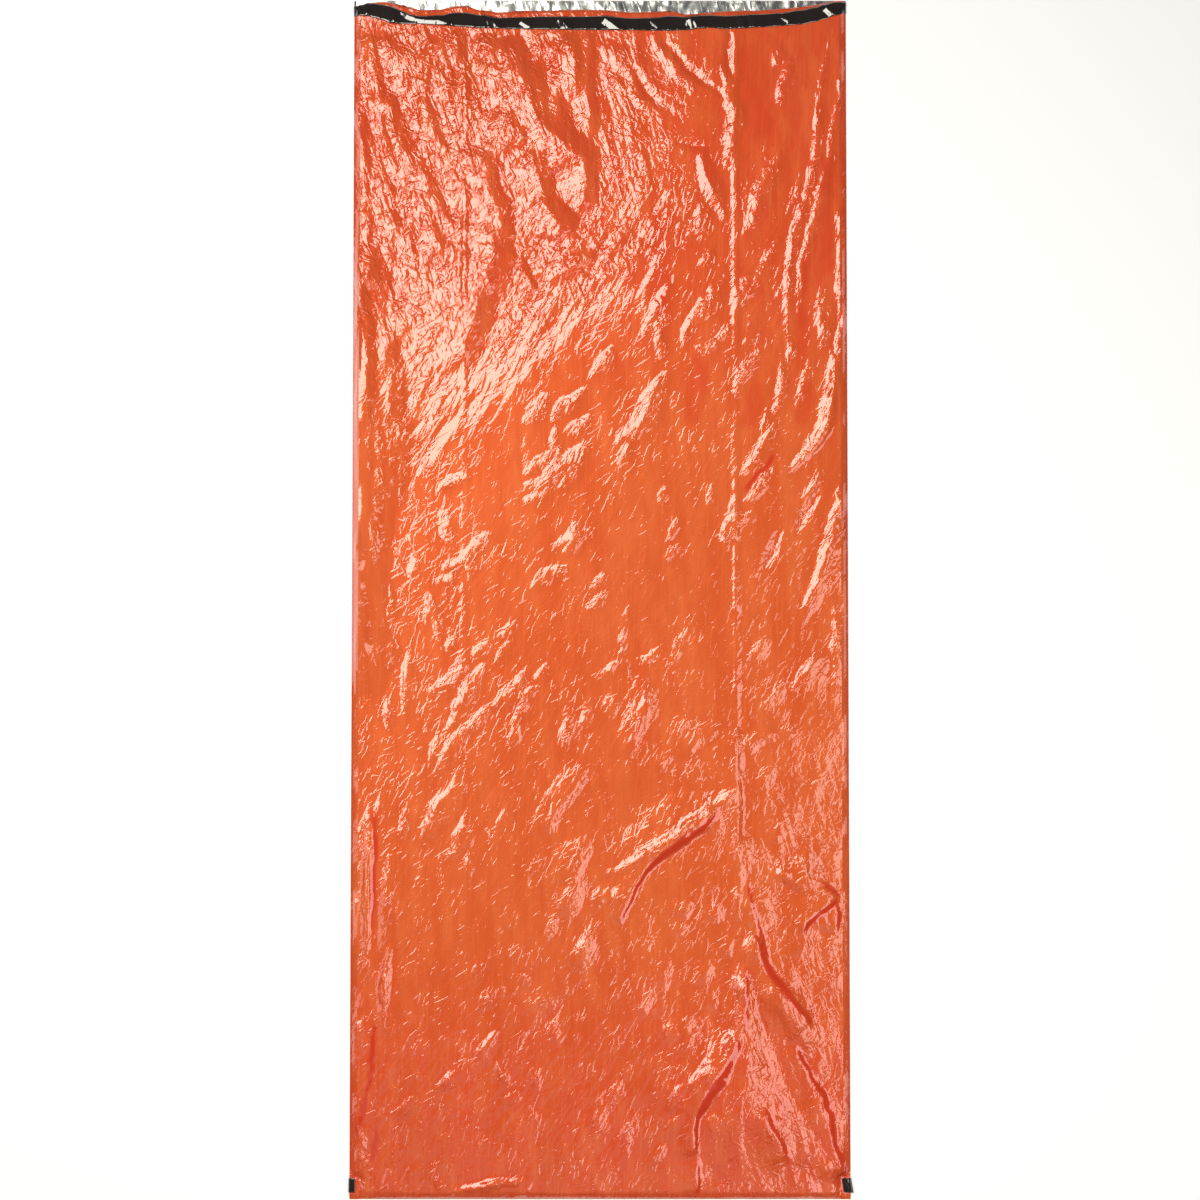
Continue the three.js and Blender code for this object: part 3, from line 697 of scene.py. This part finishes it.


# height of the front film's outer face, how closely it is creased there, and where shade is painted on it
def filmHeight(x, y, withCrinkle=True):
    least, most = film["rise"]
    runY, runX = film["riseRun"]
    width = least + (most - least) * (0.5 + latticeField(y / runY, x / runX, seeds["rise"], True))
    rise = np.clip((halfWidth(y) - np.abs(x) - film["weld"]) / width, 0, 1)
    rise = rise * np.clip((y - bag["footY"] - film["weld"]) / width, 0, 1)
    size = film["swellSize"]
    folded, turned, creased, shadeMark = foldHeight(x, y)
    swell = film["swell"] * latticeField(x / size, y / size, seeds["swell"], True)
    height = film["lift"] + folded + swell
    drop = bag["mouthY"] - y
    height = height - film["mouthFall"] * np.maximum(sagAt(x, "tapeLow") - drop, 0)
    fine = np.zeros_like(x)
    if withCrinkle:
        crinkle, fine = crinkleHeight(x, y)
        below = np.interp(x, *zip(*film["calmEdge"])) - y
        fade = 1 - film["calmLost"] * easeStep(below, *film["calmFade"])
        calm = easeStep(below, *film["calmRise"]) * fade
        calm = calm * easeStep(y, *film["calmFoot"]) * easeStep(x, *film["calmSide"])
        crinkle, fine = crinkle * (1 - film["calm"] * calm), fine * (1 - film["calm"] * calm)
        onFolds = film["foldFine"] * np.minimum(film["foldEdge"] * creased, 1)
        fine = np.maximum(fine * (1 - film["bandCalm"] * turned), onFolds) * (1 - shadeMark)
        hold = film["tapeHold"]
        underTape = (drop > sagAt(x, "tapeTop") - hold) & (drop < sagAt(x, "tapeLow") + hold)
        height = height + crinkle * np.where(underTape, film["tapeCalm"], 1)
    fromFoot = y - bag["footY"]
    along = easeStep(np.abs(fromFoot - footTape["fromFoot"]), *film["pressAlong"])
    across = easeStep(halfWidth(y) - np.abs(x), *film["pressAcross"])
    pressed = np.minimum(along + across, 1)
    tipped = (1 - pressed) * np.interp(fromFoot, *zip(*film["tip"]))
    return film["base"] + tipped + rise * pressed * np.maximum(height, film["leastLift"]), fine, shadeMark


def gridMesh(bm, across, along):
    made = bmesh.ops.create_grid(bm, x_segments=across, y_segments=along, size=1)["verts"]
    return made, np.array([v.co.x for v in made]), np.array([v.co.y for v in made])


def placeVerts(verts, x, y, z):
    for v, a, b, c in zip(verts, x, y, z):
        v.co = (a * mm, b * mm, c * mm)


def newPiece(name, bm, materials):
    mesh = bpy.data.meshes.new(name)
    bm.to_mesh(mesh)
    bm.free()
    piece = bpy.data.objects.new(name, mesh)
    bpy.context.scene.collection.objects.link(piece)
    for material in materials:
        mesh.materials.append(material)
    for polygon in mesh.polygons:
        polygon.use_smooth = True
    return piece


def newMaterial(name, settings):
    material = bpy.data.materials.new(name)
    material.use_nodes = True
    shader = material.node_tree.nodes["Principled BSDF"]
    for socket, value in settings.items():
        shader.inputs[socket].default_value = value
    return material, material.node_tree, shader


def link(tree, socket, value):
    if isinstance(value, (int, float, tuple)):
        socket.default_value = value
    else:
        tree.links.new(value, socket)


def mathNode(tree, operation, first, second=0.0, third=0.0):
    node = tree.nodes.new("ShaderNodeMath")
    node.operation = operation
    for socket, value in zip(node.inputs, (first, second, third)):
        link(tree, socket, value)
    return node.outputs["Value"]


def mixColour(tree, factor, first, second):
    node = tree.nodes.new("ShaderNodeMix")
    node.data_type = "RGBA"
    for name, value in (("Factor", factor), ("A", first), ("B", second)):
        link(tree, [s for s in node.inputs if s.name == name and s.enabled][0], value)
    return [s for s in node.outputs if s.enabled][0]


def placeNode(tree, turn, scale):
    where = tree.nodes.new("ShaderNodeTexCoord")
    place = tree.nodes.new("ShaderNodeMapping")
    place.vector_type = "TEXTURE"  # turns before it scales
    place.inputs["Rotation"].default_value = (0, 0, math.radians(turn))
    place.inputs["Scale"].default_value = [1 / s for s in scale]
    tree.links.new(where.outputs["Object"], place.inputs["Vector"])
    return place.outputs["Vector"]


def noiseNode(tree, place, detail, distortion=0.0, output="Fac"):
    node = tree.nodes.new("ShaderNodeTexNoise")
    node.noise_dimensions = "2D"
    node.inputs["Scale"].default_value = 1
    node.inputs["Detail"].default_value = detail
    node.inputs["Distortion"].default_value = distortion
    tree.links.new(place, node.inputs["Vector"])
    return node.outputs[output]


cellBend = (0.9, 0.9, 0)  # how far cells stray, in their own sizes
strokeBend = 0.4


def cellNode(tree, turn, scale):
    place = placeNode(tree, turn, scale)
    bend = tree.nodes.new("ShaderNodeVectorMath")
    bend.operation = "MULTIPLY_ADD"
    for socket, value in zip(bend.inputs, (noiseNode(tree, place, 1.0, 0.0, "Color"), cellBend, place)):
        link(tree, socket, value)
    cells = tree.nodes.new("ShaderNodeTexVoronoi")
    cells.voronoi_dimensions = "2D"
    cells.inputs["Scale"].default_value = 1
    tree.links.new(bend.outputs["Vector"], cells.inputs["Vector"])
    return cells


# flat facets that meet in sharp creases
def facetNode(tree, turn, scale, slope):
    cells = cellNode(tree, turn, scale)
    cells.distance = "CHEBYCHEV"
    return mathNode(tree, "MULTIPLY", cells.outputs["Distance"], slope / scale[0])


# thin creases between flat cells
def creaseNet(tree, turn, scale, width, slope):
    cells = cellNode(tree, turn, scale)
    cells.feature = "DISTANCE_TO_EDGE"
    edge = mathNode(tree, "MINIMUM", cells.outputs["Distance"], width)
    return mathNode(tree, "MULTIPLY", edge, slope / scale[0])


def attributeNode(tree, name):
    node = tree.nodes.new("ShaderNodeAttribute")
    node.attribute_name = name
    return node.outputs["Fac"]


# short raised strokes where a stretched noise peaks, as far as shown lets them
def creaseStrokes(tree, turn, scale, least, shown):
    over = mathNode(tree, "SUBTRACT", noiseNode(tree, placeNode(tree, turn, scale), 0.0, strokeBend), least)
    return mathNode(tree, "MULTIPLY", mathNode(tree, "MAXIMUM", over, 0.0), shown)


def stepNode(tree, value, low, high):
    node = tree.nodes.new("ShaderNodeMapRange")
    node.interpolation_type = "SMOOTHSTEP"
    link(tree, node.inputs["Value"], value)
    node.inputs["From Min"].default_value = low
    node.inputs["From Max"].default_value = high
    return node.outputs["Result"]


def patchMask(tree, turn, scale, low, high, detail=1.0):
    return stepNode(tree, noiseNode(tree, placeNode(tree, turn, scale), detail), low, high)


def alongMask(tree, low, high):
    parts = tree.nodes.new("ShaderNodeSeparateXYZ")
    tree.links.new(placeNode(tree, 0, (1, 1, 1)), parts.inputs["Vector"])
    return stepNode(tree, parts.outputs["Y"], low, high)


def addBump(tree, shader, strength, height, distance):
    bump = tree.nodes.new("ShaderNodeBump")
    bump.inputs["Distance"].default_value = distance
    link(tree, bump.inputs["Strength"], strength)
    link(tree, bump.inputs["Height"], height)
    for socket in ("Normal", "Coat Normal"):
        tree.links.new(bump.outputs["Normal"], shader.inputs[socket])


orangeLook = {
    "shader": {
        "Metallic": 0.15, "Roughness": 0.4, "IOR": 1.5, "Specular IOR Level": 0.05,
        "Coat Weight": 1.0, "Coat Roughness": 0.03, "Coat IOR": 1.85,
    },
    "plain": (0.82, 0.138, 0.034, 1),
    "far": (0.83, 0.096, 0.028, 1),  # nearer the mouth and the foot; the lighter plain tone of the middle is a painted reflection
    "farMasks": [(0.25, 0.65), (-0.55, -0.9)],
    # warm is a painted sheen and streak a painted shade, standing in for the shading of fine crinkles and
    # broad reflections
    "warm": (0.93, 0.190, 0.050, 1),
    "streak": (0.74, 0.088, 0.013, 1),
    # painted shade in hollows, valleys, grooves and shades
    "deep": (0.74, 0.050, 0.014, 1),
    "veils": [  # turn, scale, start, end and detail of a mask, its share and its tone; streak lays on painted shade and warm a painted sheen
        ((10, (40, 14, 20), 0.4, 0.7, 2.0), 0.35, "warm"),
        ((3, (60, 4, 5), 0.4, 0.65, 3.0), 0.22, "streak"),
        ((2, (17, 2.4, 5), 0.42, 0.62, 2.0), 0.4, "streak"),
        ((-2, (230, 9, 5), 0.58, 0.72, 1.0), 0.3, "warm"),
    ],
    "facetTurns": (-30, 16),  # away from the mouth's left and the foot's right, and there
    "facets": [((50, 16, 20), 0.09), ((80, 10, 40), 0.13)],  # scale, slope
    "small": ((95, 42, 40), 0.11),
    "net": (-22, (62, 26, 30), 0.10, 0.60),  # turn, scale, width, slope
    "netMask": (55, (16, 16, 16), 0.50, 0.64),
    "close": (0.35, 0.6),  # creasing from the net's lines to the small facets
    "strokes": [(-58, 0), (-20, 25), (25, 50), (65, 75)],  # turn, and turn of the mask
    "strokeMask": ((30, 30, 30), 0.43, 0.58),
    "strokeScale": (175, 43.75, 175),
    "strokeLeast": 0.55,
    "strokeDepth": 0.0032,
}


def makeOrangeFilm():
    look = orangeLook
    material, tree, shader = newMaterial("orangeFilm", look["shader"])
    # painted reflection: the middle of the film is lighter than near the mouth and the foot
    ends = mathNode(tree, "MAXIMUM", *[alongMask(tree, *mask) for mask in look["farMasks"]])
    tone = mixColour(tree, ends, look["plain"], look["far"])
    # painted shade and sheen: mottled and streaked tone for the shading of fine crinkles and broad
    # reflections
    for mask, share, name in look["veils"]:
        veil = mathNode(tree, "MULTIPLY", patchMask(tree, *mask), share)
        tone = mixColour(tree, veil, tone, look[name])
    # painted shade: hollows, valleys, grooves and shades take the deep tone
    tone = mixColour(tree, attributeNode(tree, "paintedShade"), tone, look["deep"])
    tree.links.new(tone, shader.inputs["Base Color"])
    lean = attributeNode(tree, "lean")
    height = 0.0
    for turn, shift in look["strokes"]:
        shown = patchMask(tree, shift, *look["strokeMask"])
        shown = mathNode(tree, "MULTIPLY", shown, lean) if turn > 0 else shown
        strokes = creaseStrokes(tree, turn, look["strokeScale"], look["strokeLeast"], shown)
        height = mathNode(tree, "MULTIPLY_ADD", strokes, look["strokeDepth"], height)
    for turn, share in zip(look["facetTurns"], (mathNode(tree, "SUBTRACT", 1.0, lean), lean)):
        for scale, slope in look["facets"]:
            height = mathNode(tree, "MULTIPLY_ADD", facetNode(tree, turn, scale, slope), share, height)
    crinkle = attributeNode(tree, "crinkle")
    close = stepNode(tree, crinkle, *look["close"])
    small = facetNode(tree, look["facetTurns"][1], *look["small"])
    height = mathNode(tree, "MULTIPLY_ADD", small, close, height)
    apart = mathNode(tree, "SUBTRACT", 1.0, close)
    shown = mathNode(tree, "MULTIPLY", patchMask(tree, *look["netMask"]), apart)
    height = mathNode(tree, "MULTIPLY_ADD", creaseNet(tree, *look["net"]), shown, height)
    addBump(tree, shader, crinkle, height, 1.0)
    return material


creasedLooks = {
    "silverFilm": {
        "shader": {"Base Color": (0.82, 0.81, 0.80, 1), "Metallic": 1.0, "Roughness": 0.28},
        "least": 0.5, "strength": 0.5,
    },
    "blackTape": {
        "shader": {
            "Base Color": (0.014, 0.008, 0.006, 1), "Roughness": 0.5, "Specular IOR Level": 0.1,
            "Coat Weight": 1.0, "Coat Roughness": 0.06, "Coat IOR": 2.2,
        },
        "least": 0.55, "strength": 0.8,
    },
    "turn": 10, "scale": (120, 40, 60), "depth": 0.0016,  # of the strokes on both
}


def makeCreased(name):
    look = creasedLooks[name]
    material, tree, shader = newMaterial(name, look["shader"])
    strokes = creaseStrokes(tree, creasedLooks["turn"], creasedLooks["scale"], look["least"], 1.0)
    addBump(tree, shader, look["strength"], strokes, creasedLooks["depth"])
    return material


orangeFilm, silverFilm, blackTape = makeOrangeFilm(), makeCreased("silverFilm"), makeCreased("blackTape")
print("materials:", orangeFilm.name, silverFilm.name, blackTape.name)


# plan position of the front film's grid, whose v runs from the foot at -1 to the sagging mouth at 1
def filmPlan(u, v):
    mouth = bag["mouthY"] - sagAt(u * bag["headHalf"], "edge")
    y = bag["footY"] + (v + 1) / 2 * (mouth - bag["footY"])
    return u * halfWidth(y), y


def makeFrontFilm():
    bm = bmesh.new()
    outer, u, v = gridMesh(bm, film["across"], film["along"])
    x, y = filmPlan(u, v)
    z, fine, shadeMark = filmHeight(x, y)
    placeVerts(outer, x, y, z)
    outerRim = [e for e in bm.edges if e.is_boundary]
    outerEdges, outerFaces = set(outerRim), set(bm.faces)
    step = film["innerStep"]
    inner, iu, iv = gridMesh(bm, film["across"] // step, film["along"] // step)
    ix, iy = filmPlan(iu, iv)
    order = np.lexsort((u.round(6), v.round(6)))
    field = z[order].reshape(film["along"] + 1, film["across"] + 1)
    iz = []
    for a, b in zip(iu, iv):
        column, row = round((a + 1) / 2 * film["across"]), round((b + 1) / 2 * film["along"])
        around = field[max(row - step, 0):row + step + 1, max(column - step, 0):column + step + 1]
        iz.append(around.min() - film["thick"])  # under the lowest outer point nearby
    placeVerts(inner, ix, iy, iz)
    innerFaces = [f for f in bm.faces if f not in outerFaces]
    bmesh.ops.reverse_faces(bm, faces=innerFaces)
    innerRim = [e for e in bm.edges if e.is_boundary and e not in outerEdges]
    bmesh.ops.bridge_loops(bm, edges=outerRim + innerRim)
    for f in innerFaces:
        f.material_index = 1
    piece = newPiece("frontFilm", bm, [orangeFilm, silverFilm])
    for polygon in piece.data.polygons:
        edge = halfWidth(polygon.center.y / mm) - abs(polygon.center.x) / mm
        polygon.use_smooth = edge > film["rise"][1] + film["flatRim"]
    # hollows below the softened heights are painted in shade
    softField = field
    for _ in range(film["hollowPasses"]):
        padded = np.pad(softField, 1, mode="edge")
        softField = (padded[:-2, 1:-1] + padded[2:, 1:-1] + padded[1:-1, :-2] + padded[1:-1, 2:]) / 4
    hollow = np.zeros_like(z)
    hollow[order] = np.clip((softField - field).ravel() / film["hollowDepth"], 0, 1)
    weights = patchWeights(x, y)
    lean = sum(w for p, w in zip(crinklePatches, weights) if p["angle"] > film["leanFrom"])
    lean = lean / (tiny + sum(weights))
    # painted shade where the film is hollow and where the bands mark it
    marks = {"paintedShade": np.maximum(hollow, shadeMark), "crinkle": np.clip(fine, 0, 1), "lean": lean}
    for name, values in marks.items():
        attribute = piece.data.attributes.new(name, "FLOAT", "POINT")
        full = np.zeros(len(piece.data.vertices), np.float32)  # the inner face stays at 0
        full[:len(values)] = values
        attribute.data.foreach_set("value", full)
    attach(piece, "root")
    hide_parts("front_panel")
    print("front film:", len(piece.data.polygons), "faces, top", round(z.max(), 1), "mm")


backLook = {
    "across": 200, "along": 60,
    "crowd": 3.0,  # rows crowd at the mouth, where the film shows
    "rim": 0.6,
    "sideEdge": (12, 40), "footEdge": (6, 36),  # where the crumple sets in
    "height": 2.2,
    "patch": {"angle": 80, "length": 22, "width": 9}, "seed": 51,
    "raised": 0.5, "most": 1.2,
}


def makeBackFilm():
    look = backLook
    bm = bmesh.new()
    upper, u, v = gridMesh(bm, look["across"], look["along"])
    y = bag["mouthY"] - (bag["mouthY"] - bag["footY"]) * ((1 - v) / 2) ** look["crowd"]
    x = u * halfWidth(y)
    fromEdge = easeStep(halfWidth(y) - np.abs(x), *look["sideEdge"])
    fromEdge = fromEdge * easeStep(y - bag["footY"], *look["footEdge"])
    crumple = np.clip(facetField(x, y, look["patch"], look["seed"]) + look["raised"], 0, look["most"])
    placeVerts(upper, x, y, bag["floorGap"] + look["rim"] + fromEdge * look["height"] * crumple)
    faces = list(bm.faces)
    rim = [e for e in bm.edges if e.is_boundary]
    lower = bmesh.ops.extrude_edge_only(bm, edges=rim)["geom"]
    lowerEdges = [e for e in lower if isinstance(e, bmesh.types.BMEdge) and e.is_boundary]
    for vert in [g for g in lower if isinstance(g, bmesh.types.BMVert)]:
        vert.co.z = bag["floorGap"] * mm
    bmesh.ops.contextual_create(bm, geom=lowerEdges)
    bmesh.ops.recalc_face_normals(bm, faces=bm.faces)
    for f in bm.faces:
        f.material_index = 1
    for f in faces:
        f.material_index = 0
    piece = newPiece("backFilm", bm, [silverFilm, orangeFilm])
    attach(piece, "root")
    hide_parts("back_panel")
    print("back film:", len(piece.data.polygons), "faces")


# turns a tape's side edges, past a given x, down to the floor, and gives it its thickness
def turnDown(bm, past, out, thick):
    def runsAlong(edge):
        a, b = [w.co for w in edge.verts]
        return abs(a.y - b.y) > abs(a.x - b.x)

    ends = [e for e in bm.edges if e.is_boundary and runsAlong(e)]
    ends = [e for e in ends if min(abs(w.co.x) for w in e.verts) > past * mm]
    turned = bmesh.ops.extrude_edge_only(bm, edges=ends)["geom"]
    for vert in [g for g in turned if isinstance(g, bmesh.types.BMVert)]:
        vert.co.x += math.copysign(out * mm, vert.co.x)
        vert.co.z = bag["floorGap"] * mm
    bmesh.ops.recalc_face_normals(bm, faces=bm.faces)
    bmesh.ops.solidify(bm, geom=bm.faces, thickness=-thick * mm)


tape = {
    "cells": 340, "rows": 9, "lie": 0.9, "thick": 0.35,
    "turn": 1.2,  # how far its turned ends stand out
    "endReach": 3,
    "crumple": 0.8, "patch": {"angle": 75, "length": 30, "width": 16}, "seed": 23,
    "raised": 0.4, "calmEnds": 20,
    "spindle": 0.12, "drawn": 0,  # its creases taper less than the film's folds
}

# creases over the tape, whose points give x and the drop below its upper edge
tapeFolds = foldRows([
    (2.6, 7, 5, [(-420, 2), (-413, -22)]),
    (3.2, 8, 5, [(-375, 4), (-365, -30)]),
    (2.2, 8, 5, [(-356, -1), (-310, -7), (-284, -10), (-262, -21)]),
    (3.2, 8, 5, [(-206, 4), (-196, -28)]),
    (3.8, 14, 5, [(-197, 0), (-174, -25)]),
    (2.2, 8, 5, [(-144, -5), (-122, -20)]),
    (3.4, 11, 5, [(-74, 1), (-54, -24)]),
    (4.2, 16, 5, [(4, 0), (42, -26)]),
    (2.2, 8, 5, [(88, -2), (105, -20)]),
    (3.8, 13, 5, [(152, -1), (187, -22)]),
    (3.2, 8, 5, [(163, 4), (171, -30)]),
    (3.2, 8, 5, [(250, 4), (255, -28)]),
    (3.2, 8, 5, [(267, 4), (273, -28)]),
    (2.2, 8, 5, [(320, -4), (340, -20)]),
    (3.4, 11, 5, [(398, -2), (419, -26)]),
])


def makeMouthTape():
    bm = bmesh.new()
    verts, u, v = gridMesh(bm, tape["cells"], tape["rows"])
    x = u * bag["headHalf"]
    top, low = sagAt(x, "tapeTop"), sagAt(x, "tapeLow")
    y = bag["mouthY"] - top - (low - top) * (1 - v) / 2
    x = u * halfWidth(y)
    z = filmHeight(x, y, withCrinkle=False)[0]
    crumple = np.clip(facetField(x, y, tape["patch"], tape["seed"]) + tape["raised"], 0, 1)
    crumple = crumple * easeStep(bag["headHalf"] - np.abs(x), 0, tape["calmEnds"])
    z = z + tape["lie"] + tape["crumple"] * crumple
    fromTop = y - (bag["mouthY"] - top)
    for i, fold in enumerate(tapeFolds):
        z += fold["height"] * foldShape(x, fromTop, fold, i, tape["spindle"], tape["drawn"])
    placeVerts(verts, x, y, z)
    turnDown(bm, bag["headHalf"] - tape["endReach"], tape["turn"], tape["thick"])
    piece = newPiece("mouthTape", bm, [blackTape])
    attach(piece, "root")
    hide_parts("mouth_tape")
    print("mouth tape:", len(piece.data.polygons), "faces")


footTape = {
    "length": 25, "fromFoot": 25, "across": 8, "along": 14, "lie": 0.8, "thick": 0.35, "endReach": 2.5,
    "ends": [
        {"name": "footTapeLeft", "node": "foot_tape_left", "side": -1,
         "reach": 10, "out": 1.0, "tilt": 0, "rise": 0},
        {"name": "footTapeRight", "node": "foot_tape_right", "side": 1,
         "reach": 14, "out": 2.4, "tilt": 9, "rise": 1.2},
    ],
}


def makeFootTape(end):
    bm = bmesh.new()
    verts, u, v = gridMesh(bm, footTape["across"], footTape["along"])
    middle = bag["footY"] + footTape["fromFoot"]
    y = middle + v * footTape["length"] / 2
    edge = halfWidth(y) + end["out"] + math.tan(math.radians(end["tilt"])) * (middle - y)
    x = edge - (1 - u) / 2 * (end["reach"] + end["out"])
    z = filmHeight(np.minimum(x, halfWidth(y)) * end["side"], y)[0]
    placeVerts(verts, x * end["side"], y, z + footTape["lie"] + end["rise"] * (1 + u) / 2)
    turnDown(bm, bag["footHalf"] - footTape["endReach"], 0, footTape["thick"])
    piece = newPiece(end["name"], bm, [blackTape])
    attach(piece, "root")
    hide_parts(end["node"])
    print(end["name"], len(piece.data.polygons), "faces")


studio = {
    "floorSize": 14,
    "floorTone": (0.92, 0.92, 0.92, 1),
    "floorGlow": 0.2,
    "world": 0.06,
    "cameraSpan": 2.134,  # what the square frame takes in at the film
    "lens": 85,
    "sensor": 36,
    "lights": [
        {"name": "keyBox", "at": (-1.266, 0.75, 3.0), "size": (2.35, 1.6), "turn": 46.2,
         "glow": 5.9, "gloss": True, "tint": (1, 0.985, 0.88)},
        {"name": "leftBox", "at": (-2.4, -0.9, 2.8), "size": (1.4, 1.6), "turn": 46.2,
         "glow": 1.2, "gloss": True},
        {"name": "rightBox", "at": (1.58, -1.25, 2.8), "size": (1.46, 2.3), "turn": 0,
         "glow": 2.35, "gloss": True, "tint": (1, 0.96, 0.88)},
        {"name": "footBox", "at": (0.5, -2.3, 3.0), "size": (2.8, 1.8), "turn": 0,
         "glow": 0.25, "gloss": True},
        {"name": "fillBox", "at": (0.5, -0.5, 3.4), "size": (3.2, 3.2), "turn": 0,
         "glow": 1.6, "gloss": False},
    ],
}


def makeStudio():
    bm = bmesh.new()
    bmesh.ops.create_grid(bm, x_segments=1, y_segments=1, size=studio["floorSize"] / 2)
    material = newMaterial("paleFloor", {
        "Base Color": studio["floorTone"], "Roughness": 0.9, "Specular IOR Level": 0.1,
        "Emission Color": (1, 1, 1, 1), "Emission Strength": studio["floorGlow"],
    })[0]
    newPiece("floor", bm, [material])
    world = bpy.data.worlds.new("studio")
    world.use_nodes = True
    background = world.node_tree.nodes["Background"]
    background.inputs["Color"].default_value = (1, 1, 1, 1)
    background.inputs["Strength"].default_value = studio["world"]
    bpy.context.scene.world = world
    for box in studio["lights"]:
        light = bpy.data.lights.new(box["name"], "AREA")
        light.shape = "RECTANGLE"
        light.size, light.size_y = box["size"]
        light.color = box.get("tint", (1, 1, 1))
        light.energy = box["glow"] * math.pi * box["size"][0] * box["size"][1]  # watts for that glow
        lamp = bpy.data.objects.new(box["name"], light)
        lamp.location = box["at"]
        lamp.rotation_euler = (0, 0, math.radians(box["turn"]))
        lamp.visible_glossy = box["gloss"]
        bpy.context.scene.collection.objects.link(lamp)
    camera = bpy.data.cameras.new("above")
    camera.lens, camera.sensor_width = studio["lens"], studio["sensor"]
    rig = bpy.data.objects.new("above", camera)
    rig.location = (0, 0, studio["cameraSpan"] * studio["lens"] / studio["sensor"])
    bpy.context.scene.collection.objects.link(rig)
    bpy.context.scene.camera = rig
    bpy.context.scene.view_settings.view_transform = "Standard"
    print("studio: floor, camera and", len(studio["lights"]), "lights")


makeStudio()
makeBackFilm()
makeFrontFilm()
makeMouthTape()
for end in footTape["ends"]:
    makeFootTape(end)
